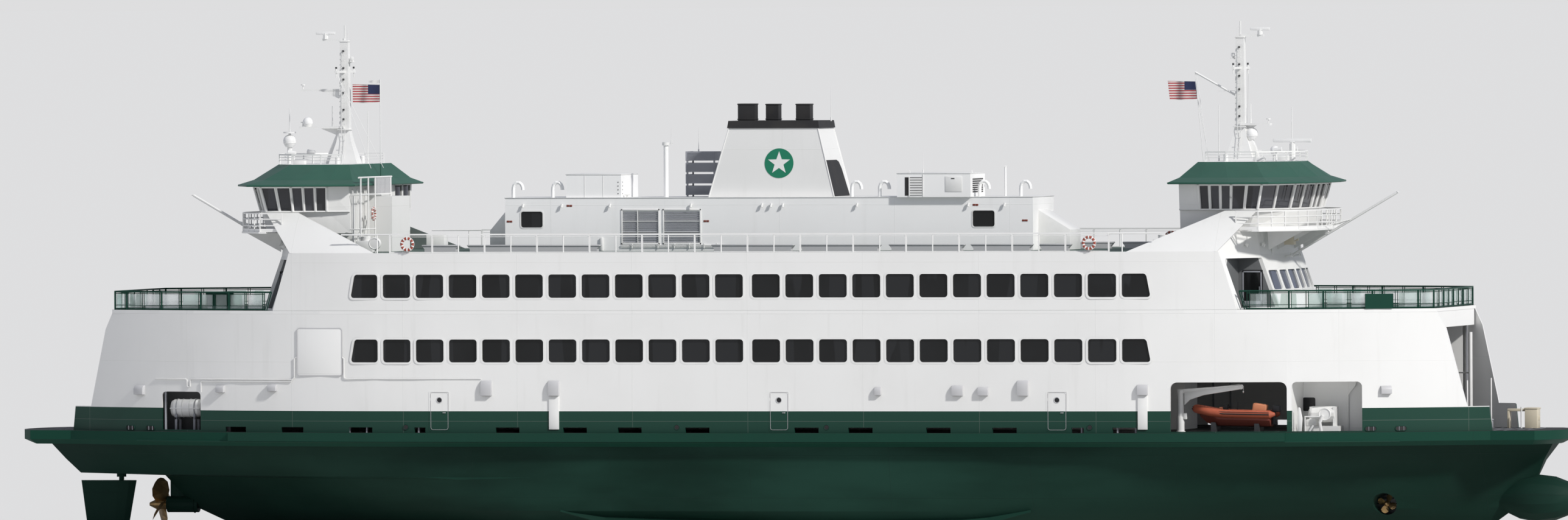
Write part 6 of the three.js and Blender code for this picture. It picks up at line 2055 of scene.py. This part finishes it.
def finishes() -> dict[str, tuple[bpy.types.Material, str]]:
    """Builds every finish of the ship once.

    Returns:
        Each material and its slot, by the key that the sub-assemblies use.
    """
    groups = Groups()
    white = {"colour": WHITE, "soil": SOIL, "roughness": 0.38, "mottle": 0.08, "gloss": 0.3}
    deck = {"colour": (0.055, 0.095, 0.08, 1), "soil": (0.1, 0.11, 0.1, 1), "roughness": 0.75,
            "mottle": 0.3, "plates": (0.62, 0.48), "flat": True, "grain": 0.0008, "rule": "LESS_THAN"}
    kinds = {
        "white": Paint("topside white", "ship_white", **white, runs=0.1, plates=(0.62, 0.29)),
        # painted highlight: the deck house's white is a lighter copy of the topside white, so that the house
        # shows brighter
        "house": Paint("house white painted brighter", "ship_white", (0.91, 0.91, 0.9, 1), SOIL, 0.38, mottle=0.06,
                       runs=0.08, plates=(0.62, 0.29), gloss=0.3),
        "side": SidePaint("side white and green", "side_paint", **white, runs=0.14, plates=(0.62, 0.31)),
        "front": FrontPaint("front white with alcove shade", "ship_white", **white, runs=0.1),
        "trim": Paint("fittings white", "ship_white", WHITE, SOIL, 0.36, mottle=0.14, patch_scale=14.0),
        "vent": Paint("vent grey", "ship_white", (0.52, 0.52, 0.53, 1), SOIL, 0.45, patch_scale=14.0),
        "marking": Paint("lane paint", "ship_white", (0.62, 0.62, 0.58, 1), (0.2, 0.2, 0.2, 1), 0.7,
                         mottle=0.6, patch_scale=18.0),
        "hull": HullPaint("bottom green", "hull_green", (0.004, 0.021, 0.014, 1), DARK_SOIL, 0.55,
                          mottle=0.25, runs=0.1, plates=(0.75, 0.22), seam_shade=0.25, gloss=0.1),
        "dark_green": Paint("band green", "band_green", GREEN, DARK_SOIL, 0.42, mottle=0.15, runs=0.1,
                            gloss=0.15),
        "roof": TopPaint("roof green", "roof_green", (0.024, 0.096, 0.066, 1), (0.022, 0.06, 0.045, 1),
                         0.46, mottle=0.15, patch_scale=6.0, gloss=0.25),
        "green": Paint("emblem green", "roof_green", (0.004, 0.19, 0.1, 1), (0.01, 0.12, 0.07, 1), 0.4,
                       patch_scale=14.0),
        "deck": TopPaint("passenger deck paint", "deck_paint", **deck, top=PLAN.passenger_deck - 0.0005),
        "sun_deck": TopPaint("sun deck paint", "deck_paint", **deck, top=PLAN.sun_deck - 0.0015),
        "bronze": Paint("propeller bronze", "bronze", (0.42, 0.27, 0.12, 1), (0.18, 0.14, 0.08, 1), 0.32,
                        metallic=0.9, mottle=0.5, patch_scale=22.0),
        # Black for soot and dark parts, and painted shade where it plugs holes, mouths and openings
        "soot_and_shade": Paint("black paint and painted shade", "console_black", (0.014, 0.014, 0.015, 1), (0.05, 0.045, 0.04, 1),
                      0.6, mottle=0.3, patch_scale=9.0),
        "console": Paint("console grey", "console_black", (0.03, 0.032, 0.035, 1), (0.06, 0.06, 0.06, 1),
                         0.5, patch_scale=12.0),
        "grey": Paint("steel grey", "steel_grey", (0.3, 0.31, 0.34, 1), (0.18, 0.18, 0.19, 1), 0.5,
                      mottle=0.3, patch_scale=12.0),
        "canister": Paint("gloss white", "canister_white", (0.83, 0.83, 0.82, 1), SOIL, 0.22, coat=0.3,
                          mottle=0.08, patch_scale=10.0),
        "cream": Paint("locker cream", "canister_white", (0.62, 0.56, 0.43, 1), (0.4, 0.35, 0.27, 1),
                       0.45, patch_scale=14.0),
        "lamp": Paint("lamp lens", "canister_white", (0.75, 0.76, 0.74, 1), (0.5, 0.5, 0.48, 1), 0.12,
                      coat=0.5, patch_scale=20.0),
        "orange": Paint("coated fabric orange", "boat_orange", (0.42, 0.095, 0.045, 1),
                        (0.3, 0.08, 0.04, 1), 0.6, mottle=0.3, patch_scale=18.0, grain=0.0006),
        "wine": Paint("coated fabric brown", "boat_orange", (0.2, 0.045, 0.028, 1),
                      (0.1, 0.03, 0.02, 1), 0.6, patch_scale=18.0, grain=0.0006),
        "tan": Paint("seat tan", "boat_orange", (0.62, 0.24, 0.12, 1), (0.4, 0.16, 0.09, 1), 0.55,
                     patch_scale=22.0, grain=0.0006),
        "ring_red": Paint("life ring red", "boat_orange", (0.33, 0.07, 0.045, 1), (0.2, 0.06, 0.05, 1),
                          0.5, patch_scale=20.0),
        "glass": Glass("cabin glass", "dark_glass", (0.009, 0.0095, 0.0098, 1), gloss=0.25),
        "blue_glass": Glass("front glass", "dark_glass", (0.045, 0.052, 0.07, 1)),
        "bridge_glass": Glass("bridge glass", "dark_glass", (0.055, 0.057, 0.064, 1), clear=0.6),
        "green_glass": Glass("rail glass", "dark_glass", (0.62, 0.72, 0.68, 1), clear=0.9, roughness=0.08),
        "bunting_aft": Cloth("aft bunting", "bunting", FLAG, 0.0066, 2.285, (-2.298, 2.327)),
        "bunting_fore": Cloth("fore bunting", "bunting", FLAG, 0.0066, 2.285, (2.125, 2.332)),
        "pennant": Cloth("plain pennant", "bunting", ((0.75, 0.75, 0.73, 1), (0.7, 0.7, 0.69, 1)),
                         0.004, 2.386),
    }
    return {key: (kind.build(groups), kind.slot) for key, kind in kinds.items()}


def main() -> None:
    logging.basicConfig(level=logging.INFO, format="%(name)s: %(message)s")
    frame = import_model()
    Shape.palette.update(finishes())
    ship = Ferry(frame["nodes"])
    ship.dress()
    for assembly in (Underwater(ship), Sides(ship), EndDecks(), CabinFronts(), SunDeck(), LifeRings(),
                     Pilothouses(), Masts(), BoatGear(), Studio()):
        assembly.build()
        log.info("%s built", type(assembly).__name__)


if __name__ == "__main__":
    main()
